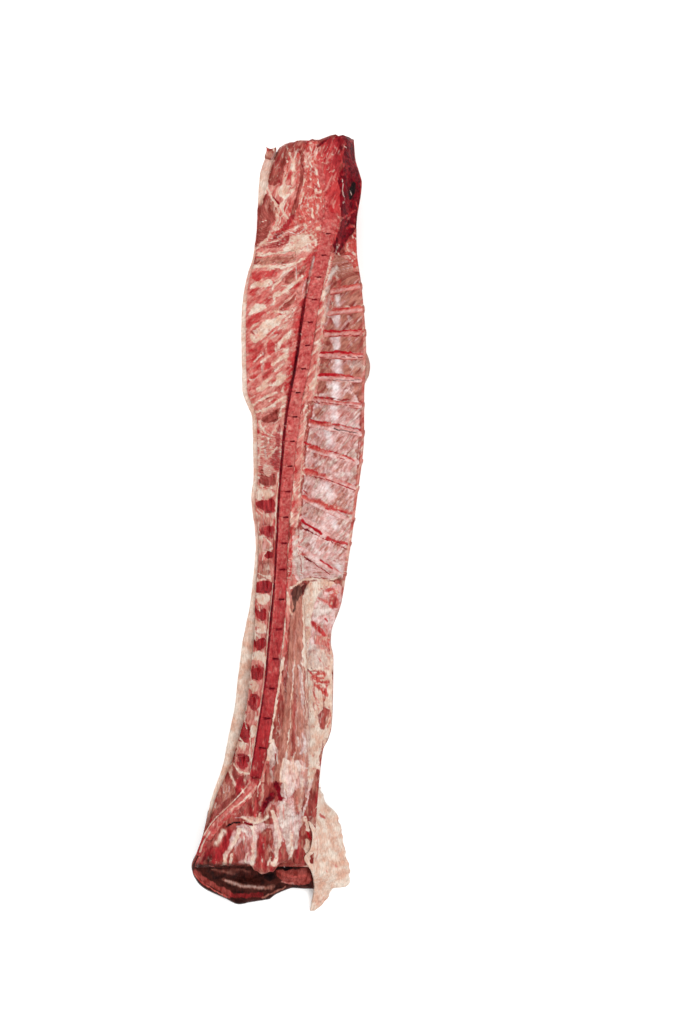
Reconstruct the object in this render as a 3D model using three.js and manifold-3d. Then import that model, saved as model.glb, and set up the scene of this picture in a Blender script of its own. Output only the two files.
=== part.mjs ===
// A raw bone-in pork loin, sawn in one piece from the neck to the rump and lying on its fat side.
// Units are millimetres. +Z is up, +Y runs towards the neck end, -X is the back edge with its strip
// of fat and +X is the rib edge. "s" is always the distance along the loin from the neck end.
//
// The loin is a side of pork split down the spine, so the sawn halves of the vertebrae lie in a row
// along its ridge. Left of them are the spinal canal and the sawn spinous processes, right of them
// the inside of the chest wall with its ribs, then the tenderloin and the rump muscles.

import * as THREE from "three";
import { mergeVertices } from "three/addons/utils/BufferGeometryUtils.js";
import Module from "manifold-3d";

const wasm = await Module();
wasm.setup();

// ---------------------------------------------------------------- driving dimensions

const RAW_SPAN = [-6, 1004]; // the length that is made before both ends are cut
const CLEARANCE = 0.35; // gap between two tissues that touch

const BACK_FAT = 9; // fat under the loin
const RIB_SIDE_FAT = 4; // fat where it thins out at the rib side
const BACK_ROUNDING = 40; // how far in the underside is round at the back edge
const RIB_SIDE_ROUNDING = 26;
const RIB_SIDE_TUCK = 9; // how far the rib side leans in below the ribs
const RIB_SIDE_LIP = 16; // height to which the fat climbs on the rib side
const FAT_LIP = 5; // thickness of the fat's upper edge along the back

const VERTEBRA_DEPTH = 17; // from the saw cut to the side of the vertebral body
const DISC_GAP = 2;
const WAIST = 0.13; // share by which a vertebral body is narrower in its middle
const SAW_TILT = 5; // the sawn face falls this much from the chest side to the canal
const CANAL_RADIUS = 3.5;

const NECK_VERTEBRAE = 4;
const CHEST_VERTEBRAE = 14;
const LOIN_VERTEBRAE = 7;
const FIRST_JOINT = 19.5;
const NECK_PITCH = 27.5;
const CHEST_PITCH = [28, 34.2]; // first and last chest vertebra
const LOIN_PITCH = 38.5;

const FIRST_SHOWN_RIB = 2; // the first two ribs are buried in the bloody neck muscle
const RIB_WIDTH = 10;
const RIB_THICKNESS = 8;
const RIB_PROUD = 1.2;
const RIB_START = 10; // gap from the vertebral body to the rib
const RIB_DROP = 8; // a rib starts this far past the joint in front of it
const RIB_SLOPE = [-0.15, 0.6]; // first and last rib, run down the loin for each mm outwards

// ---------------------------------------------------------------- lines along the loin

const { clamp, lerp, smoothstep } = THREE.MathUtils;

// A smooth line through knots of [position, value] that never overshoots them.
function rail(knots) {
  const slopes = knots.slice(1).map((k, i) => (k[1] - knots[i][1]) / (k[0] - knots[i][0]));
  const tangents = knots.map((_, i) => {
    if (i === 0) return slopes[0];
    if (i === slopes.length) return slopes.at(-1);
    const product = slopes[i - 1] * slopes[i];
    return product <= 0 ? 0 : (2 * product) / (slopes[i - 1] + slopes[i]);
  });
  return (at) => {
    const t = clamp(at, knots[0][0], knots.at(-1)[0]);
    let i = 0;
    while (i < slopes.length - 1 && t > knots[i + 1][0]) i += 1;
    const span = knots[i + 1][0] - knots[i][0];
    const f = (t - knots[i][0]) / span;
    const eased = f * f * (3 - 2 * f);
    return (
      lerp(knots[i][1], knots[i + 1][1], eased) +
      f * (1 - f) * (1 - f) * tangents[i] * span -
      f * f * (1 - f) * tangents[i + 1] * span
    );
  };
}

// Seen from above: the back edge, the rib edge and the middle of the sawn vertebrae.
const backEdge = rail([
  [0, -9], [30, -22], [55, -29], [125, -33], [160, -38], [200, -49], [240, -52.5], [330, -51],
  [370, -38], [450, -37], [525, -33.5], [590, -38.5], [670, -52.5], [735, -60], [800, -74],
  [865, -92], [905, -102], [953, -117], [970, -113], [1004, -100],
]);
const ribEdge = rail([
  [0, 90], [30, 94], [62, 103.5], [120, 97.5], [150, 98], [200, 104.5], [280, 110], [345, 107.5],
  [385, 107.5], [475, 98], [575, 83.5], [605, 74], [637, 65], [690, 66], [745, 63.5], [790, 53.5],
  [865, 47], [953, 41],
]);
const spine = rail([
  [0, 65], [100, 67], [130, 61.5], [217, 43], [333, 23.5], [397, 15], [462, 9], [530, 4], [604, 0.6],
  [678, -6.5], [756, -17.5], [834, -33], [858, -46], [903, -88], [945, -108],
]);
const spineHalfWidth = rail([
  [0, 9], [130, 9.5], [330, 8.6], [450, 7.4], [560, 7.2], [650, 8.4], [800, 8.6], [850, 7.5], [945, 6],
]);

// Seen from the side: the heights of the back edge, the ridge, the chest wall and the rib edge.
const backHeight = rail([[0, 32], [250, 30], [600, 30], [780, 30], [880, 38], [953, 42]]);
const shoulderHeight = rail([[0, 56], [120, 54], [250, 47], [600, 49], [800, 54], [880, 56], [953, 54]]);
const ridgeHeight = rail([[0, 72], [90, 78], [350, 77], [600, 73], [800, 77], [880, 72], [953, 60]]);
const wallHeight = rail([
  [0, 64], [100, 62], [200, 53], [400, 49], [560, 50], [640, 56], [760, 66], [860, 82], [953, 76],
]);
const ribHeight = rail([[0, 44], [150, 52], [400, 55], [560, 52], [640, 36], [800, 38], [880, 48], [953, 48]]);
const wallPlace = rail([[0, 0.5], [200, 0.5], [600, 0.5], [760, 0.42], [953, 0.55]]);

// The strip of fat that shows along the back edge, from above.
const fatStrip = rail([
  [0, 11], [50, 13], [85, 6], [115, 3], [160, 3], [230, 6], [450, 6], [520, 4], [600, 6], [660, 15],
  [760, 16], [830, 9], [880, 5], [953, 5],
]);

// The two end cuts, from the back edge to the rib edge. At the rump the lower muscle and its fat
// reach out past the upper muscles.
const neckCut = rail([[-22, 18], [-5, 9], [15, 5], [30, 7], [60, 1], [80, 0], [94, 5]]);
const upperRumpCut = rail([[-110, 944], [-99, 950], [-60, 959], [-25, 964], [24, 953], [45, 946]]);
const lowerRumpCut = rail([
  [-120, 952], [-111, 968], [-88, 985], [-60, 999], [-30, 999], [5, 976], [24, 975], [40, 980],
]);
const LOWER_MUSCLE = [20, 50]; // the heights between which the lower cut goes over into the upper one

// ---------------------------------------------------------------- surfaces

const KNOT_SPACING = 5;

// The upper surface of the meat across the loin at s, as places and heights from back to ribs.
function acrossTop(s) {
  const back = backEdge(s) + fatStrip(s);
  const canalSide = Math.max(spine(s) - spineHalfWidth(s), back + 2 * KNOT_SPACING);
  const chestSide = Math.max(spine(s) + spineHalfWidth(s), canalSide + 2 * KNOT_SPACING);
  return [
    [back, backHeight(s)],
    [lerp(back, canalSide, 0.5), shoulderHeight(s)],
    [canalSide, ridgeHeight(s) - SAW_TILT],
    [chestSide, ridgeHeight(s)],
    [lerp(chestSide, ribEdge(s), wallPlace(s)), wallHeight(s)],
    [ribEdge(s), ribHeight(s)],
  ];
}

const topHeight = (s, x) => rail(acrossTop(s))(x);

// The rounded underside at s. t runs from 0 at the back edge, under the loin, to 1 at the rib side.
// inset goes from 0 on the skin side to 1 where the fat meets the meat; gap shifts it further in.
function underside(s, t, inset, gap = 0) {
  const stripIn = inset * fatStrip(s) + gap;
  const under = inset * BACK_FAT + gap;
  const ribIn = inset * RIB_SIDE_FAT + gap;
  const backCentre = backEdge(s) + BACK_ROUNDING;
  const ribCentre = ribEdge(s) - RIB_SIDE_TUCK - RIB_SIDE_ROUNDING;
  if (t < 0.4) {
    const angle = (t / 0.4) * (Math.PI / 2);
    const height = backHeight(s);
    return [
      backCentre - (BACK_ROUNDING - stripIn) * Math.cos(angle),
      height - (height - under) * Math.sin(angle),
    ];
  }
  if (t <= 0.65) {
    const across = (t - 0.4) / 0.25;
    return [lerp(backCentre, ribCentre, across), under + inset * Math.sin(Math.PI * across)];
  }
  const angle = ((1 - t) / 0.35) * (Math.PI / 2);
  const lip = RIB_SIDE_LIP + Math.abs(gap);
  return [
    ribCentre + (RIB_SIDE_ROUNDING - ribIn) * Math.cos(angle),
    lip - (lip - under) * Math.sin(angle),
  ];
}

const place = (s, x, z) => new THREE.Vector3(x, -s, z);

// ---------------------------------------------------------------- making and joining solids

// A closed skin over rings of equally many points, with both ends capped.
function skin(rings) {
  const around = rings[0].length;
  const positions = rings.flat().flatMap((p) => [p.x, p.y, p.z]);
  const faces = [];
  for (let r = 0; r + 1 < rings.length; r += 1) {
    for (let i = 0; i < around; i += 1) {
      const a = r * around + i;
      const b = r * around + ((i + 1) % around);
      faces.push(a, b, a + around, b, b + around, a + around);
    }
  }
  // The triangulation drops points on a straight line, so it gets the ring with a hair of hollow.
  const hollow = (i) => 1e-3 * Math.sin((Math.PI * (i + 0.5)) / around);
  for (const [start, order] of [[0, [0, 2, 1]], [(rings.length - 1) * around, [0, 1, 2]]]) {
    const ring = rings[start / around].map((p, i) => new THREE.Vector2(p.x, p.z + hollow(i)));
    for (const cap of THREE.ShapeUtils.triangulateShape(ring, [])) {
      faces.push(...order.map((k) => start + cap[k]));
    }
  }
  const geometry = new THREE.BufferGeometry();
  geometry.setAttribute("position", new THREE.Float32BufferAttribute(positions, 3));
  return geometry.setIndex(faces);
}

// A box of nx by ny by nz cells whose points are moved by locate(u, v, w). u runs -1..1 across,
// v 0..1 along and w 0..1 up.
function warpedBox([nx, ny, nz], locate) {
  const box = new THREE.BoxGeometry(2, 1, 1, nx, ny, nz);
  const position = box.getAttribute("position");
  for (let i = 0; i < position.count; i += 1) {
    const p = locate(position.getX(i), 0.5 - position.getY(i), position.getZ(i) + 0.5);
    position.setXYZ(i, p.x, p.y, p.z);
  }
  return box;
}

function solid(geometry) {
  const bare = geometry.clone();
  bare.deleteAttribute("normal");
  bare.deleteAttribute("uv");
  const merged = mergeVertices(bare, 1e-3);
  return new wasm.Manifold(
    new wasm.Mesh({
      numProp: 3,
      vertProperties: new Float32Array(merged.getAttribute("position").array),
      triVerts: new Uint32Array(merged.index.array),
    }),
  );
}

function geometryOf(manifold) {
  const mesh = manifold.getMesh();
  const geometry = new THREE.BufferGeometry();
  geometry.setAttribute("position", new THREE.BufferAttribute(mesh.vertProperties, 3));
  geometry.setIndex(new THREE.BufferAttribute(mesh.triVerts, 1));
  geometry.computeVertexNormals();
  return geometry;
}

// An egg-shaped solid, for hollows and swellings.
function egg([s, x, z], [along, across, up]) {
  const sphere = new THREE.SphereGeometry(1, 11, 7);
  sphere.scale(across, along, up);
  return solid(sphere.translate(x, -s, z));
}

// A block that takes away one end of the loin, from face(x, z) to s = beyond.
function offcut(face, beyond) {
  const block = warpedBox([18, 1, 9], (u, v, w) => {
    const x = 150 * u;
    const z = lerp(-10, 110, w);
    const from = Math.min(beyond, face(x, z));
    const to = Math.max(beyond, face(x, z));
    return place(v === 0 ? from : to, x, z);
  });
  return solid(block);
}

const neckOffcut = offcut((x) => neckCut(x), -40);
const rumpOffcut = offcut(
  (x, z) => lerp(lowerRumpCut(x), upperRumpCut(x), smoothstep(z, ...LOWER_MUSCLE)),
  1060,
);
const cutEnds = (raw) => raw.subtract(neckOffcut).subtract(rumpOffcut);

// ---------------------------------------------------------------- backbone

// The joints between the sawn vertebrae, from the neck to the sacrum.
function vertebraJoints() {
  const joints = [FIRST_JOINT];
  const add = (pitch) => joints.push(joints.at(-1) + pitch);
  for (let i = 0; i < NECK_VERTEBRAE; i += 1) add(NECK_PITCH);
  for (let i = 0; i < CHEST_VERTEBRAE; i += 1) add(lerp(...CHEST_PITCH, i / (CHEST_VERTEBRAE - 1)));
  for (let i = 0; i < LOIN_VERTEBRAE; i += 1) add(LOIN_PITCH);
  return joints;
}

// A half of a bone of the spine: flat on the sawn face, waisted, and narrower at the bottom.
// With grow it is the room that the bone takes up in the meat, open at the top.
const HEADROOM = 12;
const BOTTOM_SHARE = 0.72; // width of the bone's bottom beside that of its sawn face

function spineBlock(from, to, { cells, waist, depth, grow = 0 }) {
  const headroom = grow ? HEADROOM : 0;
  return warpedBox(cells, (u, v, w) => {
    const s = lerp(from, to, v);
    const taper = lerp(BOTTOM_SHARE, 1, (w * (depth + headroom)) / depth);
    const half = spineHalfWidth(s) * taper * (1 - waist * Math.sin(Math.PI * v)) + grow;
    const sawn = ridgeHeight(s) - SAW_TILT * (0.5 - 0.5 * u);
    return place(s, spine(s) + u * half, w === 1 ? sawn + 0.2 + headroom : sawn - depth - grow);
  });
}

const joints = vertebraJoints();
const SACRUM_START = joints.at(-1) + DISC_GAP;
const SACRUM_END = 936;
const vertebraForm = { cells: [1, 4, 1], waist: WAIST, depth: VERTEBRA_DEPTH };
const sacrumForm = { cells: [1, 10, 1], waist: 0, depth: 11 };

const vertebrae = joints
  .slice(1)
  .map((end, i) => spineBlock(joints[i] + DISC_GAP / 2, end - DISC_GAP / 2, vertebraForm));
const sacrum = spineBlock(SACRUM_START, SACRUM_END, sacrumForm);

const BONE_GAP = 0.6; // the room around the spine, whose bends are coarser than the bones'
const trough = { cells: [1, 38, 1], waist: 0, depth: VERTEBRA_DEPTH, grow: BONE_GAP };
const spineTrough = spineBlock(FIRST_JOINT, SACRUM_START - DISC_GAP / 2, trough);
const sacrumTrough = spineBlock(
  SACRUM_START - DISC_GAP / 2,
  SACRUM_END + BONE_GAP,
  { ...sacrumForm, grow: BONE_GAP },
);

// The spinal canal, sawn open along the back side of the vertebrae.
const CANAL_START = 150;
const canal = (() => {
  const points = [];
  for (let s = CANAL_START; s <= joints.at(-1); s += 34) {
    const x = spine(s) - spineHalfWidth(s) - CANAL_RADIUS * 0.75;
    points.push(place(s, x, ridgeHeight(s) - SAW_TILT - 1));
  }
  const section = new THREE.Shape();
  section.absarc(0, 0, CANAL_RADIUS, 0, 2 * Math.PI, false);
  return new THREE.ExtrudeGeometry(section, {
    steps: 30,
    curveSegments: 6,
    bevelEnabled: false,
    extrudePath: new THREE.CatmullRomCurve3(points),
  });
})();

// ---------------------------------------------------------------- spinous processes

// Each is sawn through lengthways and shows on the back side of the canal. Chest ones lean towards
// the rump, as long bars; loin ones are short squares. s and x are the middle of the sawn face.
const chestProcesses = [
  { s: 149, x: 6.5, length: 70, width: 12, lean: 0.26 },
  { s: 185, x: 13, length: 25, width: 11, lean: 0.75 },
  { s: 216, x: 13, length: 32, width: 11, lean: 0.85 },
  { s: 338, x: -9, length: 28, width: 11, lean: 0.55 },
  { s: 366, x: -14, length: 27, width: 12, lean: 0.35 },
];
const LOIN_PROCESS_COUNT = 11;
const LOIN_PROCESS = { length: 17, width: 17, lean: 0.1 };
const FROM_FAT = 3; // meat left between a process and the strip of fat
const PROCESS_DEPTH = 6;

function process({ s, x, length, width, lean }, grow = 0) {
  return warpedBox([2, 2, 1], (u, v, w) => {
    const round = 1 - 0.16 * u * u * (2 * v - 1) ** 2;
    const across = u * (length / 2 + grow) * round;
    const along = (v - 0.5) * (width + 2 * grow) * round - across * lean;
    const top = topHeight(s + along, x + across);
    const lid = grow ? HEADROOM : 0.6;
    return place(s + along, x + across, w === 1 ? top + lid : top - PROCESS_DEPTH - grow);
  });
}

const processes = [...chestProcesses];
for (let i = joints.length - 1 - LOIN_PROCESS_COUNT; i < joints.length - 1; i += 1) {
  const s = lerp(joints[i], joints[i + 1], 0.52);
  const right = spine(s) - spineHalfWidth(s) - 1.8 * CANAL_RADIUS - 1;
  const left = Math.max(right - LOIN_PROCESS.length, backEdge(s) + fatStrip(s) + FROM_FAT);
  processes.push({ ...LOIN_PROCESS, s, x: (left + right) / 2, length: right - left });
}

// ---------------------------------------------------------------- ribs

// A rib follows the chest wall outwards from its vertebra, crowned on top, to the sawn rib edge.
// With grow it is the room for the rib, open at the top and one cell longer, past the rib edge.
const RIB_CELLS = 5;

function rib(index, grow = 0) {
  const share = (index - FIRST_SHOWN_RIB) / (CHEST_VERTEBRAE - 1 - FIRST_SHOWN_RIB);
  const slope = lerp(...RIB_SLOPE, share ** 1.2);
  const start = joints[NECK_VERTEBRAE + index] + RIB_DROP;
  const inner = spine(start) + spineHalfWidth(start) + RIB_START;
  const outer = ribEdge(start + slope * 70) - 0.5;
  const headroom = grow ? HEADROOM : 0;
  const cells = grow ? RIB_CELLS + 1 : RIB_CELLS;
  return warpedBox([grow ? 1 : 2, cells, 1], (u, v, w) => {
    const x = lerp(inner, outer, (v * cells) / RIB_CELLS);
    const narrowing = lerp(1, 0.8, (w * (RIB_THICKNESS + headroom)) / RIB_THICKNESS);
    const s = start + slope * (x - inner) - u * ((RIB_WIDTH / 2) * narrowing + grow);
    const wall = topHeight(s, Math.min(x, ribEdge(s)));
    const crown = RIB_PROUD * (1 - u * u);
    const z = w === 1 ? wall + crown + headroom : wall - RIB_THICKNESS - grow;
    return place(s, v === 0 ? x - grow : x, z);
  });
}

const ribNumbers = [];
for (let i = FIRST_SHOWN_RIB; i < CHEST_VERTEBRAE; i += 1) ribNumbers.push(i);

// ---------------------------------------------------------------- tenderloin

const TENDERLOIN_START = 552;
const TENDERLOIN_END = 884;
const tenderloinMiddle = rail([[552, 17], [630, 20], [700, 19.5], [780, 16], [884, 8]]);
const tenderloinHalfWidth = rail([[552, 2.5], [600, 8.5], [680, 13], [750, 18], [830, 22], [884, 15]]);
const tenderloinRise = rail([[552, 1], [600, 8], [700, 13], [800, 12], [884, 2.5]]);
const TENDERLOIN_SINK = 11; // how deep it sits in the meat

function tenderloin(grow = 0) {
  const rings = [];
  const RINGS = 18;
  const AROUND = 10;
  for (let r = 0; r <= RINGS; r += 1) {
    const s = lerp(TENDERLOIN_START - grow, TENDERLOIN_END + grow, r / RINGS);
    const half = tenderloinHalfWidth(s) + grow;
    const ring = [];
    for (let i = 0; i < AROUND; i += 1) {
      const angle = (i / AROUND) * 2 * Math.PI;
      const x = tenderloinMiddle(s) + half * Math.cos(angle);
      const up = Math.sin(angle) > 0 ? tenderloinRise(s) + grow : TENDERLOIN_SINK * (half / 22) + grow;
      ring.push(place(s, x, topHeight(s, tenderloinMiddle(s)) - 1 + up * Math.sin(angle)));
    }
    rings.push(ring);
  }
  return skin(rings);
}

// ---------------------------------------------------------------- fat

// The back fat: one layer under the whole loin, which turns up along the back edge. gap swells it,
// to clear its room in the meat.
function backFat(gap = 0) {
  const rings = [];
  const RINGS = 40;
  const OUTER = 11;
  const INNER = 8;
  for (let r = 0; r <= RINGS; r += 1) {
    const s = lerp(...RAW_SPAN, r / RINGS);
    const outer = [];
    for (let i = 0; i <= OUTER; i += 1) outer.push(underside(s, i / OUTER, 0, -gap));
    const inner = [];
    for (let i = 0; i <= INNER; i += 1) inner.push(underside(s, 1 - i / INNER, 1, gap));
    const crest = [backEdge(s) + 0.35 * fatStrip(s), backHeight(s) + 1.5 + gap];
    rings.push([...outer, ...inner, crest].map(([x, z]) => place(s, x, z)));
  }
  return skin(rings);
}

// The loose apron of fat at the rump, which climbs the rib side and spreads on the table.
const APRON_START = 862;
const APRON_END = 1008;
const APRON_ROOT = 24; // how far its foot reaches in under the meat, where it joins the back fat
const apronInner = rail([
  [862, 50], [893, 40], [920, 29], [936, 31], [953, 35], [985, 41], [1002, 39], [1008, 41],
]);
const apronOuter = rail([
  [862, 54], [874, 65], [893, 73], [920, 79], [950, 85], [970, 88], [976, 86], [983, 66], [996, 58], [1008, 46],
]);
const apronHeight = rail([[862, 52], [900, 60], [935, 62], [960, 48], [978, 20], [1008, 8]]);

function apron(grow = 0) {
  return warpedBox([4, 16, 1], (u, v, w) => {
    const s = lerp(APRON_START - grow, APRON_END + grow, v);
    const share = 0.5 + 0.5 * u;
    const inner = apronInner(s) - grow - APRON_ROOT * (1 - w);
    const x = lerp(inner, apronOuter(s) + grow, share);
    const wave = 2.4 * Math.sin(s / 11 + 2.5 * share) * share;
    const top = lerp(apronHeight(s), 7, share ** 0.8) + wave + grow;
    return place(s, x, w === 1 ? top : -grow);
  });
}

// A tag of fat left standing at the neck cut.
function neckTag(grow = 0) {
  return warpedBox([1, 2, 1], (u, v, w) => {
    const s = lerp(14 - grow, 38 + grow, v);
    const x = -18 + u * (lerp(5, 4, v) + grow);
    return place(s, x, lerp(22 - grow, 36 + 3 * v + grow, w));
  });
}

// The side of the shoulder that swells out below the ribs.
const sideSwelling = (grow = 0) => egg([305, 102, 20], [40 + grow, 13.5 + grow, 14 + grow]);

// ---------------------------------------------------------------- lean meat

const ACROSS_BACK = 5;
const ACROSS_CHEST = 7;
const LEAN_RINGS = 54;
const CANAL_SIDE = 8; // the strip between these two runs over the spine and its canal in one cell
const CHEST_SIDE = 3;
const WITHIN_FAT = [1, 0.85, 0.65, 0.4, 0.25, 0.08]; // the raw underside, before the fat's room is cut

function lean() {
  const rings = [];
  for (let r = 0; r <= LEAN_RINGS; r += 1) {
    const s = lerp(...RAW_SPAN, r / LEAN_RINGS);
    const [back, , canalEdge, chestEdge, , ribs] = acrossTop(s).map(([x]) => x);
    const start = back + 2 * CLEARANCE;
    const top = [];
    for (let i = 0; i <= ACROSS_BACK; i += 1) {
      top.push(lerp(start, canalEdge - CANAL_SIDE, i / ACROSS_BACK));
    }
    for (let i = 0; i <= ACROSS_CHEST; i += 1) {
      top.push(lerp(chestEdge + CHEST_SIDE, ribs, i / ACROSS_CHEST));
    }
    const ring = top.map((x) => place(s, x, topHeight(s, x)));
    const side = [0.3, 0.7].map((f) =>
      place(s, ribs - RIB_SIDE_TUCK * f * f, lerp(ribHeight(s), RIB_SIDE_LIP + 2, f)),
    );
    const under = WITHIN_FAT.map((t) => place(s, ...underside(s, t, 0.5)));
    rings.push([...ring, ...side, ...under].reverse());
  }
  return skin(rings);
}

// ---------------------------------------------------------------- assembly

const RUMP_HOLLOW = egg([984, -42, 44], [34, 50, 17]); // between the upper and the lower rump muscles
const BLOOD_HOLLOW = egg([66, 92, 62], [22, 7, 9]); // the dark pocket in the neck

const fatRoom = solid(backFat(CLEARANCE))
  .add(solid(apron(CLEARANCE)))
  .add(solid(neckTag(CLEARANCE)))
  .add(sideSwelling(CLEARANCE));
let meat = cutEnds(solid(lean()))
  .subtract(fatRoom)
  .subtract(solid(spineTrough))
  .subtract(solid(sacrumTrough))
  .subtract(solid(canal))
  .subtract(RUMP_HOLLOW)
  .subtract(BLOOD_HOLLOW)
  .subtract(solid(tenderloin(CLEARANCE)));
for (const index of ribNumbers) meat = meat.subtract(solid(rib(index, CLEARANCE)));
for (const one of processes) meat = meat.subtract(solid(process(one, CLEARANCE)));
meat = meat.decompose().sort((a, b) => b.volume() - a.volume())[0];

const fat = cutEnds(solid(backFat()))
  .add(solid(apron()))
  .add(solid(neckTag()))
  .add(sideSwelling());

const paint = (colour, roughness) => new THREE.MeshStandardMaterial({ color: colour, roughness });
const MUSCLE = paint(0xa8504c, 0.45);
const FAT = paint(0xe3c0a8, 0.5);
const MARROW = paint(0xb8504e, 0.6);
const RIB_BONE = paint(0xcc7a74, 0.45);
const FILLET = paint(0xa8645e, 0.35);

const loin = new THREE.Group();

function addPiece(name, geometry, material, group = loin) {
  const mesh = new THREE.Mesh(geometry, material);
  mesh.name = name;
  group.add(mesh);
  return mesh;
}

const numbered = (name, i) => `${name}_${String(i + 1).padStart(2, "0")}`;

addPiece("lean_meat", geometryOf(meat), MUSCLE);
addPiece("back_fat", geometryOf(fat), FAT);
addPiece("tenderloin", tenderloin(), FILLET);

const backbone = new THREE.Group();
vertebrae.forEach((bone, i) => addPiece(numbered("vertebra", i), bone, MARROW, backbone));
addPiece("sacrum", sacrum, MARROW, backbone);
processes.forEach((one, i) => addPiece(numbered("spinous_process", i), process(one), MARROW, backbone));
loin.add(backbone);

const chestWall = new THREE.Group();
ribNumbers.forEach((index, i) => addPiece(numbered("rib", i), rib(index), RIB_BONE, chestWall));
loin.add(chestWall);

// The origin is the middle of the loin's box, on the table that it lies on.
const box = new THREE.Box3().setFromObject(loin);
const middle = box.getCenter(new THREE.Vector3());
loin.children.forEach((child) => child.position.set(-middle.x, -middle.y, -box.min.z));

export default loin;
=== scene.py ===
# %% [markdown]
# # A raw bone-in pork loin
# A side of pork is split down the spine and the loin is sawn out in one piece, from the neck to the
# rump. It lies on its back fat, so the sawn halves of the vertebrae look up, with the inside of the
# chest wall and its ribs on one side and the back muscles on the other. This notebook dresses the
# solid model of that loin: every piece is shaped around the solids, and one chart of the meat,
# drawn as strokes, says which tissue lies where.

# %% The frame
import math

import bpy
import numpy as np
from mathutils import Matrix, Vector


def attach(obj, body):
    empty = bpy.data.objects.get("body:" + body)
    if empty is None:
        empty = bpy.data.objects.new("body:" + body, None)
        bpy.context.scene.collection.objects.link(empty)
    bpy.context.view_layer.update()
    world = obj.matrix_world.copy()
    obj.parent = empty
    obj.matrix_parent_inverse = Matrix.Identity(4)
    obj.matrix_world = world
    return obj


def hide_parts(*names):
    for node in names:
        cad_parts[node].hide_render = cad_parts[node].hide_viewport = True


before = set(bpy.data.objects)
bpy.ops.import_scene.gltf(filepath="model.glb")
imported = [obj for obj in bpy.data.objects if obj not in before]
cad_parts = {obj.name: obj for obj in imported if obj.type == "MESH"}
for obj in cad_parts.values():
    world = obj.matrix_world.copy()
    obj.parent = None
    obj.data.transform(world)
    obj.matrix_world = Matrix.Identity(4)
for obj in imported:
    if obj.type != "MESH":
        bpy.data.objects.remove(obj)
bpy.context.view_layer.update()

# %% [markdown]
# ## Camera, floor and light
# The loin was photographed from straight above on a white table, so the camera hangs over it and
# looks down, with the neck at the top. A long lens keeps the sides of the meat from leaning out.
# One pixel of the photograph is 1.3 mm on the loin: that comes from the spacing of the vertebrae.

# %% Camera
MM = 0.001
PIXEL = 1.3  # millimetres of meat per pixel of the photograph
PHOTO_SIZE = (683, 1024)
ORIGIN_PIXEL = np.array([281.785, 522.885])  # where the frame's origin lies in the photograph
MID_X, MID_S = 0.371, 504.25  # the frame's origin in the loin's own millimetres
CAMERA_DISTANCE = 7.0
MEAT_LEVEL = 0.05  # the height at which the photograph's scale holds
SENSOR = 36.0

centre = (np.array(PHOTO_SIZE) / 2 - ORIGIN_PIXEL) * PIXEL * MM
camera_data = bpy.data.cameras.new("camera")
camera_data.sensor_width = SENSOR
camera_data.lens = SENSOR * CAMERA_DISTANCE / (PHOTO_SIZE[1] * PIXEL * MM)
camera = bpy.data.objects.new("camera", camera_data)
camera.location = (centre[0], -centre[1], CAMERA_DISTANCE + MEAT_LEVEL)
bpy.context.collection.objects.link(camera)
bpy.context.scene.camera = camera
print("camera over", [round(v, 3) for v in camera.location], "lens", round(camera_data.lens, 1))

# %% Node helper and colours


def linear(colour, alpha=1.0):
    """An sRGB hex colour as the linear values that a shader takes."""
    parts = [int(colour[i : i + 2], 16) / 255 for i in (1, 3, 5)]
    return tuple(c / 12.92 if c <= 0.04045 else ((c + 0.055) / 1.055) ** 2.4 for c in parts) + (alpha,)


def add(tree, kind, inputs=None, **settings):
    """Adds one node: settings are its properties, and each input is given a value or a link."""
    node = tree.nodes.new(kind)
    for key, value in settings.items():
        setattr(node, key, value)
    for key, value in (inputs or {}).items():
        if isinstance(value, bpy.types.NodeSocket):
            tree.links.new(value, node.inputs[key])
        else:
            node.inputs[key].default_value = value
    return node


def new_material(name):
    """A material whose tree holds only an output and a shader, which is handed back."""
    material = bpy.data.materials.new(name)
    material.use_nodes = True
    tree = material.node_tree
    tree.nodes.clear()
    shader = add(tree, "ShaderNodeBsdfPrincipled")
    add(tree, "ShaderNodeOutputMaterial", {"Surface": shader.outputs[0]})
    return material, tree, shader


# %% Floor and light
FLOOR_SIZE = 8.0
SKY = 1.25


def make_floor():
    mesh = bpy.data.meshes.new("floor")
    h = FLOOR_SIZE / 2
    mesh.from_pydata([(-h, -h, 0), (h, -h, 0), (h, h, 0), (-h, h, 0)], [], [(0, 1, 2, 3)])
    floor = bpy.data.objects.new("floor", mesh)
    floor.location.z = -0.0005
    bpy.context.collection.objects.link(floor)
    material, _, shader = new_material("white_table")
    shader.inputs["Base Color"].default_value = linear("#f4f3f2")
    shader.inputs["Roughness"].default_value = 0.7
    mesh.materials.append(material)
    return floor


def make_light(name, at, size, power):
    data = bpy.data.lights.new(name, "AREA")
    data.shape = "SQUARE"
    data.size = size
    data.energy = power
    light = bpy.data.objects.new(name, data)
    light.location = at
    light.rotation_euler = (Vector((0, 0, 0)) - Vector(at)).to_track_quat("-Z", "Y").to_euler()
    bpy.context.collection.objects.link(light)
    return light


make_floor()
make_light("softbox_left", (-1.3, 1.0, 2.0), 1.4, 38.0)
make_light("softbox_right", (1.3, -0.7, 2.0), 1.4, 34.0)
world = bpy.data.worlds.new("studio")
world.use_nodes = True
world.node_tree.nodes["Background"].inputs["Color"].default_value = (1, 1, 1, 1)
world.node_tree.nodes["Background"].inputs["Strength"].default_value = SKY
bpy.context.scene.world = world
bpy.context.scene.view_settings.view_transform = "Standard"

# %% [markdown]
# ## The lines of the loin
# The solid model was lofted between smooth lines: the back edge, the rib edge, the spine and the
# heights across the meat. The same lines are repeated here, so that a surface made of many small
# faces runs through the solids. s is the distance from the neck end, in millimetres.

# %% Rails


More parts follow.
